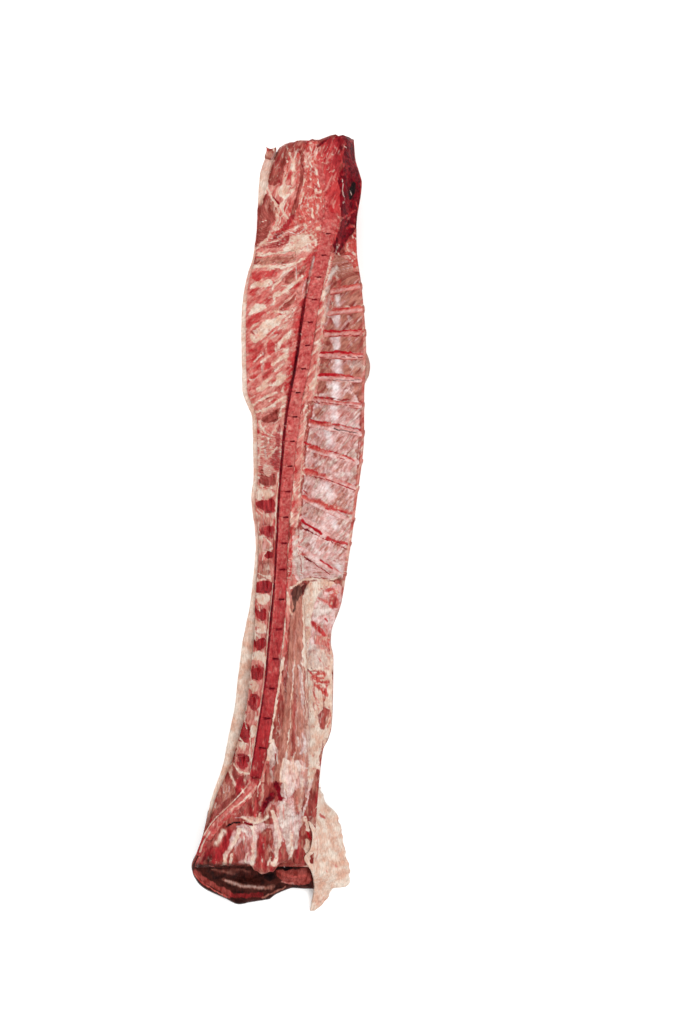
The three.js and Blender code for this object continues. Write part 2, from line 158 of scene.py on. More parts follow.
def along(knots_x, knots_y, at):
    """Smooth values at 'at' through rows of knots, which never overshoot them."""
    slope = np.diff(knots_y) / np.diff(knots_x)
    product = slope[:, :-1] * slope[:, 1:]
    total = slope[:, :-1] + slope[:, 1:]
    inner = np.where(product > 0, 2 * product / np.where(total == 0, 1, total), 0)
    tangent = np.concatenate([slope[:, :1], inner, slope[:, -1:]], axis=1)
    at = np.clip(at, knots_x[:, 0], knots_x[:, -1])
    i = np.clip((at[:, None] >= knots_x[:, 1:-1]).sum(1), 0, slope.shape[1] - 1)
    row = np.arange(len(at))
    x0, x1 = knots_x[row, i], knots_x[row, i + 1]
    y0, y1 = knots_y[row, i], knots_y[row, i + 1]
    span = x1 - x0
    f = (at - x0) / span
    eased = f * f * (3 - 2 * f)
    bend = f * (1 - f) * ((1 - f) * tangent[row, i] - f * tangent[row, i + 1]) * span
    return y0 + (y1 - y0) * eased + bend


def rail(*knots):
    """A smooth line through knots of (s, value), as a function of s."""
    x, y = (np.array([k]) for k in zip(*knots))

    def value(at):
        at = np.asarray(at, float)
        flat = at.ravel()
        n = len(flat)
        rows = [np.repeat(k, n, 0).astype(float) for k in (x, y)]
        return along(*rows, flat).reshape(at.shape)

    return value


back_edge = rail(
    (0, -9), (30, -22), (55, -29), (125, -33), (160, -38), (200, -49), (240, -52.5), (330, -51),
    (370, -38), (450, -37), (475, -39.5), (525, -33.5), (590, -38.5), (670, -52.5), (735, -60),
    (800, -72.5), (812, -74.5), (865, -92), (905, -100.5), (930, -108), (953, -117),
    (970, -113), (1004, -100),
)
rib_edge = rail(
    (0, 94), (30, 96), (48, 101), (62, 104.5), (120, 97.5), (150, 98), (200, 104.5), (280, 110),
    (345, 107.5), (385, 107.5), (475, 98), (575, 83.5), (610, 77.4), (625, 72.2), (645, 65), (660, 64),
    (680, 67.5), (745, 66.5),
    (770, 65), (785, 61), (800, 54), (865, 47), (953, 41),
)
spine = rail(
    (0, 65), (100, 67), (130, 61.5), (217, 43), (244, 38.4), (275, 34.2), (304, 29.7), (336, 22.3),
    (397, 15), (462, 9), (530, 4),
    (604, 0.6), (678, -6.5), (756, -17.5), (834, -33), (858, -46), (903, -88), (945, -108),
)
spine_half = rail(
    (0, 9), (130, 9.5), (330, 8.6), (450, 7.4), (560, 7.2), (650, 8.4), (800, 8.6), (850, 7.5), (945, 6),
)
back_height = rail((0, 32), (250, 30), (600, 30), (780, 30), (880, 38), (953, 42))
shoulder_height = rail((0, 56), (120, 54), (250, 47), (600, 49), (800, 54), (880, 56), (953, 54))
ridge_height = rail((0, 72), (90, 78), (350, 77), (600, 73), (800, 77), (880, 72), (953, 60))
wall_height = rail(
    (0, 64), (100, 62), (200, 53), (400, 49), (560, 50), (640, 56), (760, 66), (860, 82), (953, 76),
)
rib_height = rail(
    (0, 44), (150, 52), (400, 55), (560, 52), (640, 36), (800, 38), (880, 48), (953, 48),
)
wall_place = rail((0, 0.5), (200, 0.5), (600, 0.5), (760, 0.42), (953, 0.55))
fat_strip = rail(
    (0, 11), (50, 13), (85, 6), (115, 3), (160, 3), (230, 6), (450, 6), (520, 4), (600, 6),
    (660, 15), (760, 16), (830, 9), (880, 5), (953, 5),
)
neck_cut = rail(
    (-22, 26), (-9, 23.4), (-2, 14.5), (6, 10.5), (12, 8.5), (26, 7.9), (40, 6.5), (50, 6), (60, 4.5),
    (64, 1.5),
    (78, 1.8), (86, 2.3), (94, 6),
)
lower_rump_cut = rail(
    (-120, 952), (-111, 968), (-88, 985), (-60, 999), (-30, 999), (5, 976), (24, 975), (40, 980),
)
SAW_TILT = 5.0  # millimetres by which the sawn bone is lower on the side of the back
KNOT_SPACING = 5.0
SIDE_TUCK, SIDE_ROUNDING, SIDE_LIP = 9.0, 26.0, 16.0
BACK_ROUNDING, BACK_FAT, SIDE_FAT = 40.0, 9.0, 4.0


def lerp(a, b, f):
    return a + (b - a) * f


def smooth(low, high, x):
    f = np.clip((x - low) / (high - low), 0, 1)
    return f * f * (3 - 2 * f)


def top_height(s, x):
    """The smooth upper surface of the meat, in millimetres over the table."""
    s, x = np.broadcast_arrays(np.asarray(s, float), np.asarray(x, float))
    shape, s, x = s.shape, s.ravel(), x.ravel()
    back = back_edge(s) + fat_strip(s)
    canal = np.maximum(spine(s) - spine_half(s), back + 2 * KNOT_SPACING)
    chest = np.maximum(spine(s) + spine_half(s), canal + 2 * KNOT_SPACING)
    ribs = rib_edge(s)
    places = [back, lerp(back, canal, 0.5), canal, chest, lerp(chest, ribs, wall_place(s)), ribs]
    heights = [
        back_height(s), shoulder_height(s), ridge_height(s) - SAW_TILT, ridge_height(s),
        wall_height(s), rib_height(s),
    ]
    return along(np.stack(places, 1), np.stack(heights, 1), x).reshape(shape)


def underside(s, t, inset=0.0, gap=0.0):
    """The rounded underside, t from 0 at the back edge to 1 at the rib side."""
    strip, under, side = inset * fat_strip(s) + gap, inset * BACK_FAT + gap, inset * SIDE_FAT + gap
    back_centre = back_edge(s) + BACK_ROUNDING
    side_centre = rib_edge(s) - SIDE_TUCK - SIDE_ROUNDING
    turn = np.clip(t / 0.4, 0, 1) * math.pi / 2
    across = np.clip((t - 0.4) / 0.25, 0, 1)
    rise = np.clip((1 - t) / 0.35, 0, 1) * math.pi / 2
    height = back_height(s)
    x = np.where(
        t < 0.4,
        back_centre - (BACK_ROUNDING - strip) * np.cos(turn),
        np.where(
            t <= 0.65,
            lerp(back_centre, side_centre, across),
            side_centre + (SIDE_ROUNDING - side) * np.cos(rise),
        ),
    )
    z = np.where(
        t < 0.4,
        height - (height - under) * np.sin(turn),
        np.where(t <= 0.65, under, SIDE_LIP - (SIDE_LIP - under) * np.sin(rise)),
    )
    return x, z


def to_frame(s, x, z):
    """Millimetres of the loin to metres of the frame."""
    return np.stack([(x - MID_X) * MM, (MID_S - s) * MM, z * MM], -1)


def to_photo(points):
    """Where frame points lie in the photograph, in pixels."""
    return points[..., :2] / (PIXEL * MM) * (1, -1) + ORIGIN_PIXEL


# The joints between the vertebrae, and the spacing that leads from one to the next.
FIRST_JOINT = 19.5
NECK_COUNT, CHEST_COUNT, LOIN_COUNT = 4, 14, 7
NECK_PITCH, CHEST_PITCH, LOIN_PITCH = 27.5, (28, 34.2), 38.5
PITCHES = [NECK_PITCH] * NECK_COUNT
PITCHES += [lerp(*CHEST_PITCH, i / (CHEST_COUNT - 1)) for i in range(CHEST_COUNT)]
PITCHES += [LOIN_PITCH] * LOIN_COUNT
JOINTS = [FIRST_JOINT]
for pitch in PITCHES:
    JOINTS.append(JOINTS[-1] + pitch)
print("joints from", JOINTS[0], "to", round(JOINTS[-1], 1), "mm")

# %% [markdown]
# ## Noise
# Meat has no straight edge and no even colour. Blender's texture nodes give noise to materials;
# for the shapes themselves a small value noise is written here, so that the same lumps come out in
# each run.

# %% Noise


def noise(points, size, seed=0):
    """Smooth value noise from -1 to 1 with lumps of the given size, for points in millimetres."""
    q = np.asarray(points, float) / size
    cell = np.floor(q).astype(np.int64)
    f = q - cell
    f = f * f * (3 - 2 * f)
    value = np.zeros(len(q))
    for corner in np.ndindex(*([2] * q.shape[1])):
        key = np.full(len(q), seed * 1013 + 7, np.int64)
        weight = np.ones(len(q))
        for axis, c in enumerate(corner):
            key = (key * 73856093 + (cell[:, axis] + c) * (19349663 + 2 * axis)) & 0x7FFFFFFF
            weight = weight * (f[:, axis] if c else 1 - f[:, axis])
        key = (key ^ (key >> 13)) * 1274126177 & 0x7FFFFFFF
        value += weight * ((key ^ (key >> 15)) & 0xFFFF) / 0xFFFF
    return 2 * value - 1


def cloudy(points, size, seed=0, octaves=3):
    """Noise on noise, each layer half as large and half as strong as the one before."""
    return sum(noise(points, size / 2**i, seed + i) * 0.5**i for i in range(octaves)) / 1.5


# %% [markdown]
# ## The chart of the meat
# A butcher sees the sawn side as a map: dark red back muscle, cream seams of fat, the red spongy
# bone, thin silvery membranes and blood. The chart below draws that map with strokes: a stroke with
# a width is a streak, and one without is the outline of a patch. Each patch of the chart is drawn in
# its own enlarged grid, because that is how the photograph was studied.
#
# Each stroke is written as a tissue, then width/strength/relief, then its points. Strength is 1 and
# relief is 0 where they are left out. A negative width is a soft glow, such as a painted highlight
# on a wet membrane. Some strokes paint light and shade rather than a tissue: highlights on wet
# surfaces, and shade in the rump's hollow and its holes. Relief raises or sinks the surface, in
# millimetres, so that a seam is a groove as well as a pale line.

# %% Tissues
# The last entry is painted highlight, not a tissue. Some of the others also paint light or shade, as their
# colours below say.
TISSUES = (
    "muscle", "fat", "marbled", "coral", "red", "garnet", "blood", "membrane", "tan", "pleura", "marrow",
    "clot", "umber", "scarlet", "sheen",
)


def patch(left, top, zoom, *drawings):
    """Strokes drawn in a grid of zoom steps to the pixel, with its corner at (left, top)."""
    strokes = []
    for word in " ".join(drawings).split():
        if word in TISSUES:
            strokes.append([])
        strokes[-1].append(word)
    made = []
    for tissue, pen, *path in strokes:
        given = [float(v) for v in pen.split("/")]
        width, strength, relief = given + [1.0, 0.0][len(given) - 1 :]
        points = np.array([[float(v) for v in p.split(",")] for p in path])
        made.append((tissue, width / zoom, points / zoom + (left, top), strength, relief))
    return made


# %% The neck
# Two thin pale membrane streaks, one beside the near-black patch and one at the lower right, are painted
# glints of light on the wet flesh.
NECK = patch(
    240, 130, 11.2,
    """
marbled 0 230,440 330,170 560,120 900,110 960,700 900,1450 150,1450 170,1100 200,700
coral 0/0.7 600,230 900,110 960,700 900,1450 640,1300 520,1000 640,640
fat 60 370,230 330,330 280,430 255,560 245,700 235,800
coral 26 320,215 350,250
muscle 0/0.92/2.5 400,240 450,190 560,125 700,115 770,150 740,220 690,250 620,240 560,250 530,300 520,360
  500,430 480,520 460,590 420,610 370,625 320,600 300,540 320,460 360,370
fat 0/0.75 430,680 470,620 540,600 600,640 600,700 560,730 520,780 470,770 430,730
fat 26/0.7 560,260 590,380 600,500 580,590
coral 18/0.8 530,340 540,440 500,520
red 26/0.85 570,650 590,640
blood 26/0.9 370,750 400,790 430,820
muscle 40/1/1 690,230 700,330 695,430 690,540 670,640 650,760 620,880 570,990 500,1090 430,1180
blood 8 700,390 715,470
coral 0/0.85 760,150 850,120 890,170 900,260 870,300 880,380 900,450 880,560 920,640 960,720 930,800 900,860
  860,860 840,960 800,1020 740,1060 700,1020 690,960 680,880 680,800 720,740 740,680 740,560 760,480 770,380
  740,300 730,220
fat 12/0.9 850,440 860,520
fat 12/0.8 710,720 690,820
fat 20/0.9 815,900 815,990
fat 22/0.9 730,1060 740,1110
fat 24/0.9 860,1100 890,1120
fat 10/0.8 790,380 800,420
fat 11/0.6 760,640 830,660 860,700
fat 10/0.7 880,600 890,660
red 20/0.7 830,610 870,640
red 20/0.8 890,850 900,900 860,960
red 24/0.7 870,1010 930,960 1000,950
coral 40/0.9 800,790 860,800
marrow 0 890,150 1040,140 1110,220 1110,300 1100,380 1110,500 1100,600 1130,700 1110,780 1120,900 1140,1000
  1110,1080 1060,1200 1030,1290 1010,1400 1000,1450 890,1450 900,1300 920,1160 900,1040 880,960 900,900
  960,860 950,740 900,640 880,560 870,380 850,330 870,260
red 0/0.62 900,160 1040,145 1110,220 1110,500 1100,600 1130,700 1110,780 1140,1000 1110,1080 1060,1200
  1010,1400 930,1400 960,1200 1000,1000 990,800 960,600 900,400
red 18/0.6 880,330 860,260 960,170 1040,170
red 20/0.7 960,740 1050,700 1110,720
fat 7/0.7 880,355 900,330 930,345 960,310 980,275 1010,262 1040,290 1060,285
fat 6/0.6 915,370 950,385 975,375
fat 8/0.6 1080,225 1105,260 1085,300
fat 12/0.85 1050,480 1090,440 1105,400
fat 7 1000,490 1040,470
fat 8/0.7 1060,560 1070,600
marbled 10/0.8 940,700 1000,650 1050,610
blood 0 1040,140 1060,70 1180,50 1290,90 1300,220 1330,380 1380,480 1380,600 1370,760 1330,880 1310,960
  1320,1100 1290,1140 1240,1180 1200,1240 1160,1300 1100,1400 1060,1430 1040,1330 1060,1240 1110,1100
  1140,1000 1120,900 1110,780 1130,700 1100,600 1110,500 1160,400 1120,300 1110,220
garnet 0/0.92 960,110 1060,90 1180,100 1170,260 1110,420 1100,560 1050,430 1050,250 980,180
blood -40/0.5 1080,130 1140,200 1130,300
red -60/0.6 980,240 1020,420 1040,600 1060,800 1040,1000 990,1200
red -110/0.35 640,190 800,220 960,260
garnet -70/0.2 460,260 420,400
blood 30/0.8 870,190 940,140 1000,90
blood 14/0.7 720,170 770,135 830,125
clot 0/0.22/-1.5 1190,380 1280,390 1320,500 1330,620 1310,720 1280,780 1230,800 1200,740 1190,600 1170,480
clot 0 1255,570 1300,590 1290,700 1250,790 1215,770 1230,660
clot 20/0.25 1200,80 1260,130 1270,220
red 16/0.5 1180,160 1120,300 1150,420
red 14/0.4 1220,260 1260,360
red 20/0.5 1190,880 1240,960 1180,1060
red 16/0.5 1090,1130 1050,1280
membrane 8 1235,690 1245,730
scarlet 16/0.95 1295,380 1345,480 1362,580 1350,700
red 14/0.9 1305,810 1320,900
membrane 7/0.8 1150,560 1162,630 1140,700 1160,760 1150,830
red 12/0.8 1150,1000 1220,950 1290,890
red 26/0.7 1200,1100 1270,1080
coral 0 1300,1130 1340,1300 1340,1450 1240,1450 1220,1370 1250,1260 1270,1160
marbled 24 1230,1330 1240,1400
red 14/0.7 1290,1180 1300,1260
fat 9/0.6 1290,1300 1310,1360
coral 0/0.6 1190,1280 1250,1240 1320,1250 1330,1450 1180,1450 1160,1380
membrane 8/0.9 1070,1390 1085,1340 1110,1290
marbled 9 1170,195 1190,205
muscle 0/0.75/2 290,690 340,750 380,840 410,900 400,980 350,1060 330,1130 290,1200 240,1260 170,1270 170,1150
  200,1000 210,880 240,820 270,730
fat 7 230,1025 290,1012
fat 16/0.8 310,640 350,730 385,810 425,880
fat 20/0.75 430,890 430,960 400,1040 350,1130 300,1210 230,1270 180,1310
fat 14/0.8 540,830 510,920 440,1030 380,1110
garnet 0/0.8/1 640,940 600,1000 560,1080 520,1130 440,1190 380,1230 350,1230 400,1160 460,1090 530,1010
  590,950
membrane 8/0.95 560,1150 620,1168 680,1160 715,1130 735,1080
membrane 8/0.7 420,1190 500,1160 560,1130
garnet 0/0.75 250,1290 320,1270 400,1250 480,1200 560,1160 560,1220 500,1290 420,1320 300,1330 240,1320
fat 0/0.85/1.5 550,1230 620,1185 740,1175 820,1180 830,1230 780,1290 700,1320 620,1350 520,1370 400,1370
  480,1320 530,1270
coral 26/0.8 780,1200 810,1240
fat 12/0.9 200,1370 300,1380 420,1372 520,1368 620,1350
membrane 12/0.8 765,1290 755,1340
fat 18/0.8 850,1240 855,1290
""",
)
print("strokes:", len(NECK))

# %% The back of the chest
CHEST = patch(
    235, 250, 10.45,
    """
marbled 0 180,100 760,0 880,0 700,700 560,1580 90,1580 70,1200 65,700 90,430 150,250
fat 20/0.8/0.6 170,170 300,165 480,190 560,165 700,110
fat 14/0.8 480,190 560,160 640,145 740,85
membrane 6 645,150 650,240 640,320
fat 30/0.6 520,230 600,190
fat 14/0.9 490,370 560,378 620,350
fat 26/0.8 400,490 520,440 620,360 700,290
membrane 6 625,480 635,520
fat 14/0.8 430,640 540,650 600,610
fat 20/0.6 480,760 600,680 640,600
muscle 0 495,340 550,270 630,215 635,270 620,335 560,355
muscle 0/0.8 650,250 690,200 750,140 735,220 690,290
muscle 0 455,620 520,560 600,500 650,470 620,540 560,595 500,615
muscle 12/0.6 570,720 620,660 640,610
red 0/0.75/1 180,210 270,200 340,220 400,200 440,235 440,280 380,300 330,285 240,325 200,310 170,250
fat 0/0.95 225,350 290,340 340,300 400,330 370,372 300,385 230,375
red 0/0.58/1 180,390 250,395 330,385 400,375 390,420 330,500 390,540 330,595 250,560 200,600 150,650 115,740
  100,620 130,500
fat 0/0.9 210,560 260,560 340,590 300,625 220,660 160,690 150,670
fat 26/0.7 400,500 430,540 380,580
red 0/0.72/1 140,700 200,670 300,640 345,650 320,700 260,745 200,760 160,790 120,850 105,800
fat 0/0.92/0.6 240,800 300,745 380,720 480,700 480,770 400,800 350,860 320,905 260,930 200,975 160,925 170,870
garnet 26/0.7 180,850 200,880
membrane 7 200,830 235,835 225,870
red 0/0.55/1.2 120,930 200,985 260,940 300,945 315,1020 280,1080 295,1120 255,1160 280,1230 280,1330 250,1400
  180,1440 100,1430 95,1200 100,1050
red 0/0.75/0.8 345,925 385,930 420,1000 420,1110 380,1130 335,1080 325,1000
red 0/0.75/0.8 310,1180 360,1150 400,1220 385,1320 330,1350 285,1330 290,1250
garnet 14/0.6 300,1000 310,1060 290,1110
membrane 5 300,940 300,1020 290,1090
fat 12 205,1165 240,1110 275,1090
fat 12 265,1165 315,1140
membrane 5/0.9 300,1160 275,1230 275,1310
coral 40/0.5 140,1240 150,1330
red 0/0.7 120,1430 200,1440 280,1395 240,1460 150,1500
fat 22/0.6 400,480 470,420
fat 30/0.85 430,1040 490,950 590,850
fat 28/0.85 400,1200 460,1150 550,1110
fat 22/0.7 420,1270 500,1190 540,1150
fat 40/0.9 440,1400 490,1340 530,1330
fat 30/0.8 460,1530 520,1450
red 14/0.7 420,880 540,860
red 12/0.5 430,960 440,1080 400,1150
muscle 12/0.6 390,1290 470,1180 520,1130
fat 18/0.7 230,1450 330,1420 420,1400
red 34/0.62 770,240 720,400 670,560 630,720 600,900 570,1080 555,1250 540,1400 520,1570
pleura 14/0.7 830,80 810,170 775,245
pleura 14/0.7 745,310 720,410 690,500
fat 13/0.5 720,560 690,670
fat 12/0.5 585,860 540,960
garnet 14/0.8 855,30 835,160 805,290 775,400 735,530
garnet 16/0.9 760,440 735,530 720,610
blood 22/1 728,570 705,700 690,800 670,920 650,1050 620,1200 600,1300 580,1400 560,1570
red 20/0.8 760,300 800,290
red 24/0.8 700,520 740,530
""",
)

CANAL = patch(
    275, 300, 10,
    """
red 40/0.85 266,-20 252,100 240,200 224,300 214,400 205,480 190,560 172,660 155,760 135,860 115,960 105,1020
garnet 22/0.7 282,0 268,110 256,200 244,300 232,400 222,480 206,560 190,660 176,760 152,860 136,960 128,1010
garnet 14/0.8 310,-60 302,-20 296,40
blood 13/0.9 303,-20 298,20 290,70
blood 27 289,75 280,130 270,200 258,280 247,380 238,450 225,540 208,640 196,730 175,830 155,940 148,1010
clot 10/0.6 268,150 262,220 246,400 230,520 205,660 186,780 165,900
fat 7/0.5 262,340 285,400 268,460 240,580 226,680
""",
) + patch(
    240, 240, 6.5,
    """
pleura 9/0.6 480,110 470,160 455,215 445,260
coral 9/0.6 445,300 432,350
red 9/0.8 510,40 500,80 492,150 475,220 462,280
red 8/0.5 455,120 440,200 420,260
coral 0/0.85 690,0 765,0 775,150 782,210 720,205 700,120 680,60
red 9/0.6 650,150 700,170 740,150
fat 8/0.7 640,90 660,120
marbled 0/0.7 600,120 700,90 720,200 640,230 600,180
pleura 0/0.6 590,190 660,170 690,200 660,260 600,262 560,300 540,250
fat -10/0.6 640,190 620,240
tan 0/0.9 92,118 200,105 330,100 372,110 365,135 300,150 180,160 95,162
muscle 6/0.6 110,132 240,122 350,118
blood 7/0.8 440,240 435,292 430,345 424,390 416,435
fat 7/0.8 95,95 200,92 300,82 420,70
fat 8/0.8 85,170 160,174 250,167 330,152 420,130
""",
)

BACK_PATCHES = patch(
    240, 400, 6,
    """
fat 7/0.7 85,580 120,600 160,590 200,570
garnet 0/0.8 90,600 150,605 205,580 205,680 170,692 140,662 100,640
fat 6/0.6 100,650 140,692 180,704
garnet 0/0.7 120,762 200,745 200,812 160,822 110,790
red 5/0.7 80,600 90,640
garnet 0/0.8 145,915 195,900 198,950 160,960
fat 5/0.6 120,900 160,905 200,890
garnet 0/0.9 78,1100 110,1088 195,1080 192,1160 80,1158
fat 6/0.7 90,1080 190,1068
tan 0/0.6 100,960 190,960 190,1040 110,1062 95,1000
fat 5/0.5 110,1042 150,1062 200,1050
tan -9/0.5 170,160 180,260 170,350
fat -7/0.5 118,120 125,250 115,380
garnet -7/0.5 130,470 170,490
fat -7/0.6 110,540 160,545 210,520
membrane -6/0.4 150,300 160,380
""",
)
print("strokes:", len(CHEST) + len(CANAL) + len(BACK_PATCHES))

# %% The middle of the back
MIDDLE = patch(
    235, 390, 10.45,
    """
marbled 0 90,0 560,0 520,200 490,500 470,800 440,1100 430,1568 240,1568 215,1300 190,1100 190,900 215,500
  205,420 170,250
coral 40/0.6 120,60 170,40
fat 20/0.7 150,170 240,110 350,60 430,20
muscle 8 290,130 330,95 375,70
red 9/0.9 290,200 380,150 455,105
fat 17/0.9 210,235 330,190 430,125 510,80
red 7/0.7 190,125 270,112
muscle 0/0.85 250,310 330,265 430,205 485,185 470,260 440,325 380,350 300,340
fat 13/0.85 250,320 270,390 310,450
muscle 8/0.7 255,350 275,410 305,440
fat 14/0.8 440,350 400,430 340,520
fat 9/0.6 250,450 238,560 262,700 235,860
tan 26/0.8 310,500 325,570 320,690
membrane 14/0.9 320,625 320,655
garnet 0/0.7 470,330 490,420 480,560 470,700 480,780 450,870 390,800 365,740 400,660 430,560 420,480 450,380
fat 15/0.85 445,600 400,655 345,715
fat 0/0.4 290,770 370,770 415,840 385,870 340,905 295,850
muscle 0/0.8/0.6 225,960 250,900 275,790 295,850 340,905 375,880 400,870 435,920 425,1000 330,1005 250,975
red 8/0.7 385,890 405,880 380,960
fat 12/0.6 235,1010 330,1012 430,1040
red 6/0.9 300,1010 380,1035 440,1050
fat 0/0.6 215,1040 330,1050 420,1065 425,1105 330,1120 230,1145 200,1100
red 10/0.8 190,1110 200,1180 212,1240
garnet 0/0.95/0.8 240,1160 330,1150 410,1135 425,1200 410,1290 330,1265 290,1215 250,1200
tan 0/0.5 220,1280 290,1270 350,1310 400,1355 370,1400 300,1440 235,1440 220,1350
garnet 0/0.95/0.8 265,1480 330,1435 405,1400 420,1480 420,1570 330,1545 280,1520
fat 10/0.8 235,1470 290,1530 330,1570
marbled 20/0.8 535,60 510,200 500,400 490,520 480,700
fat 7/0.8 505,70 485,170
fat 9/0.75 455,870 450,1000 440,1130 430,1250 425,1400 430,1570
blood 22/1 588,0 550,200 520,400 505,560 490,740 478,880
blood 18/1 478,880 468,1000 458,1150 450,1300 445,1450 445,1570
""",
)
print("strokes:", len(MIDDLE))

# %% The back of the loin
LOIN = patch(
    235, 530, 11.2,
    """
marbled 0/0.9 240,0 430,0 420,300 420,500 400,700 380,900 350,1150 340,1400 330,1568 160,1568 160,1200 190,950
  200,700 215,550 240,400
garnet 0/0.9 275,20 430,0 425,110 380,80 330,50 290,30
fat 10/0.85 250,90 300,60 350,105 410,165
tan 0/0.6 260,170 330,120 410,185 400,230 330,250 280,240
fat 9/0.9 345,250 305,310 300,370 350,425
garnet 0/0.9 340,260 425,245 425,320 380,335 330,300
garnet 0/0.6 265,370 310,320 350,350 410,345 412,420 330,425 280,400
tan 0/0.75 245,480 330,440 415,455 380,530 300,560 245,560
fat 9/0.9 290,558 360,532 430,515
garnet 0/1/1 215,615 270,582 402,560 402,700 330,712 250,690 205,660
fat 0/0.75 230,725 400,712 392,800 330,830 260,832 235,770
garnet 0/0.95/0.8 185,830 230,850 255,900 300,860 350,880 362,960 340,1010 290,1022 250,980 205,925
fat 12/0.9 255,835 275,900
fat 0/0.7 190,985 260,1025 345,1050 365,1140 300,1165 200,1120 175,1060
garnet 0/1/0.8 200,1210 240,1255 290,1195 350,1210 352,1280 300,1352 250,1352 215,1300
fat 12/0.9 180,1150 240,1175 280,1200
fat 0/0.75 180,1380 240,1362 320,1355 348,1440 330,1500 200,1500 175,1450
garnet 0/1 190,1505 325,1512 325,1570 210,1570
marbled 12/0.8 450,0 442,200 430,420 425,600
fat 10/0.7 425,600 412,800 385,1000 368,1150 352,1400 338,1568
blood 20/1 475,0 465,200 455,430 445,560 430,700 415,850
blood 22/1 415,850 402,1000 388,1200 370,1350 355,1568
""",
)
print("strokes:", len(LOIN))

# %% The right of the spine and the flank
FLANK = patch(
    235, 530, 11.2,
    """
marbled 0/0.8 600,0 740,0 740,500 640,660 560,1568 500,1568 560,1000 590,600
red 12/0.9 630,0 640,150 620,300 630,430 600,560 582,640
fat 8/0.7 600,150 588,260
membrane 20/0.7 655,60 672,200 655,350 650,480
membrane 16/0.45 700,40 722,200 705,330 742,470
fat 24/0.8 590,700 590,800 620,900 640,950
fat 22/0.8 560,980 545,1150 520,1350 500,1568
pleura 0/0.8 640,-40 1300,-40 1270,300 1210,520 1100,540 900,530 780,545 690,590 650,400
pleura 0/0.85/0.8 830,585 1150,600 1225,640 1210,800 1190,950 1180,1100 1190,1300 1210,1420 1210,1600 740,1600
  765,1200 760,900 790,730
fat 44/0.8 850,600 820,760 790,900 790,1100 790,1300 800,1500
clot 0/0.62/-4 615,665 740,600 800,588 825,610 790,680 735,735 695,820 680,895 645,925 660,820 630,760
marbled 14/0.6 745,625 775,605
fat 18/0.9/1.5 600,660 700,598 780,552 860,545 960,562 1060,550 1160,535 1215,485
coral 34/0.35 920,590 990,610 900,690
tan 24/0.8/-2 1160,545 1205,545 1190,610
clot 10/0.55 1140,540 1205,500
pleura 0/0.7 880,900 1000,865 1085,920 1050,1005 900,990
coral 20/0.6 1070,740 1150,700
red 12/0.45 930,760 1030,800
membrane 6/0.8 950,820 1050,882 1130,902
red 0/0.75 870,1018 920,1050 965,1090 1025,1180 1000,1205 920,1140 885,1090
red 12/0.8 1020,990 1025,1010
marbled 0/0.9 880,1180 1000,1190 1065,1250 1065,1400 980,1390 890,1300
red 8/0.6 1040,1260 1050,1350
clot 8/0.5 1045,1330 1070,1390 1040,1400
clot 6/0.45 805,1350 800,1430
membrane 9/0.6 835,1290 825,1400 860,1500
coral 0/0.75 900,1425 980,1395 1025,1440 1000,1500 930,1480
fat 12/0.8 1095,1300 1105,1450
""",
)
print("strokes:", len(FLANK))
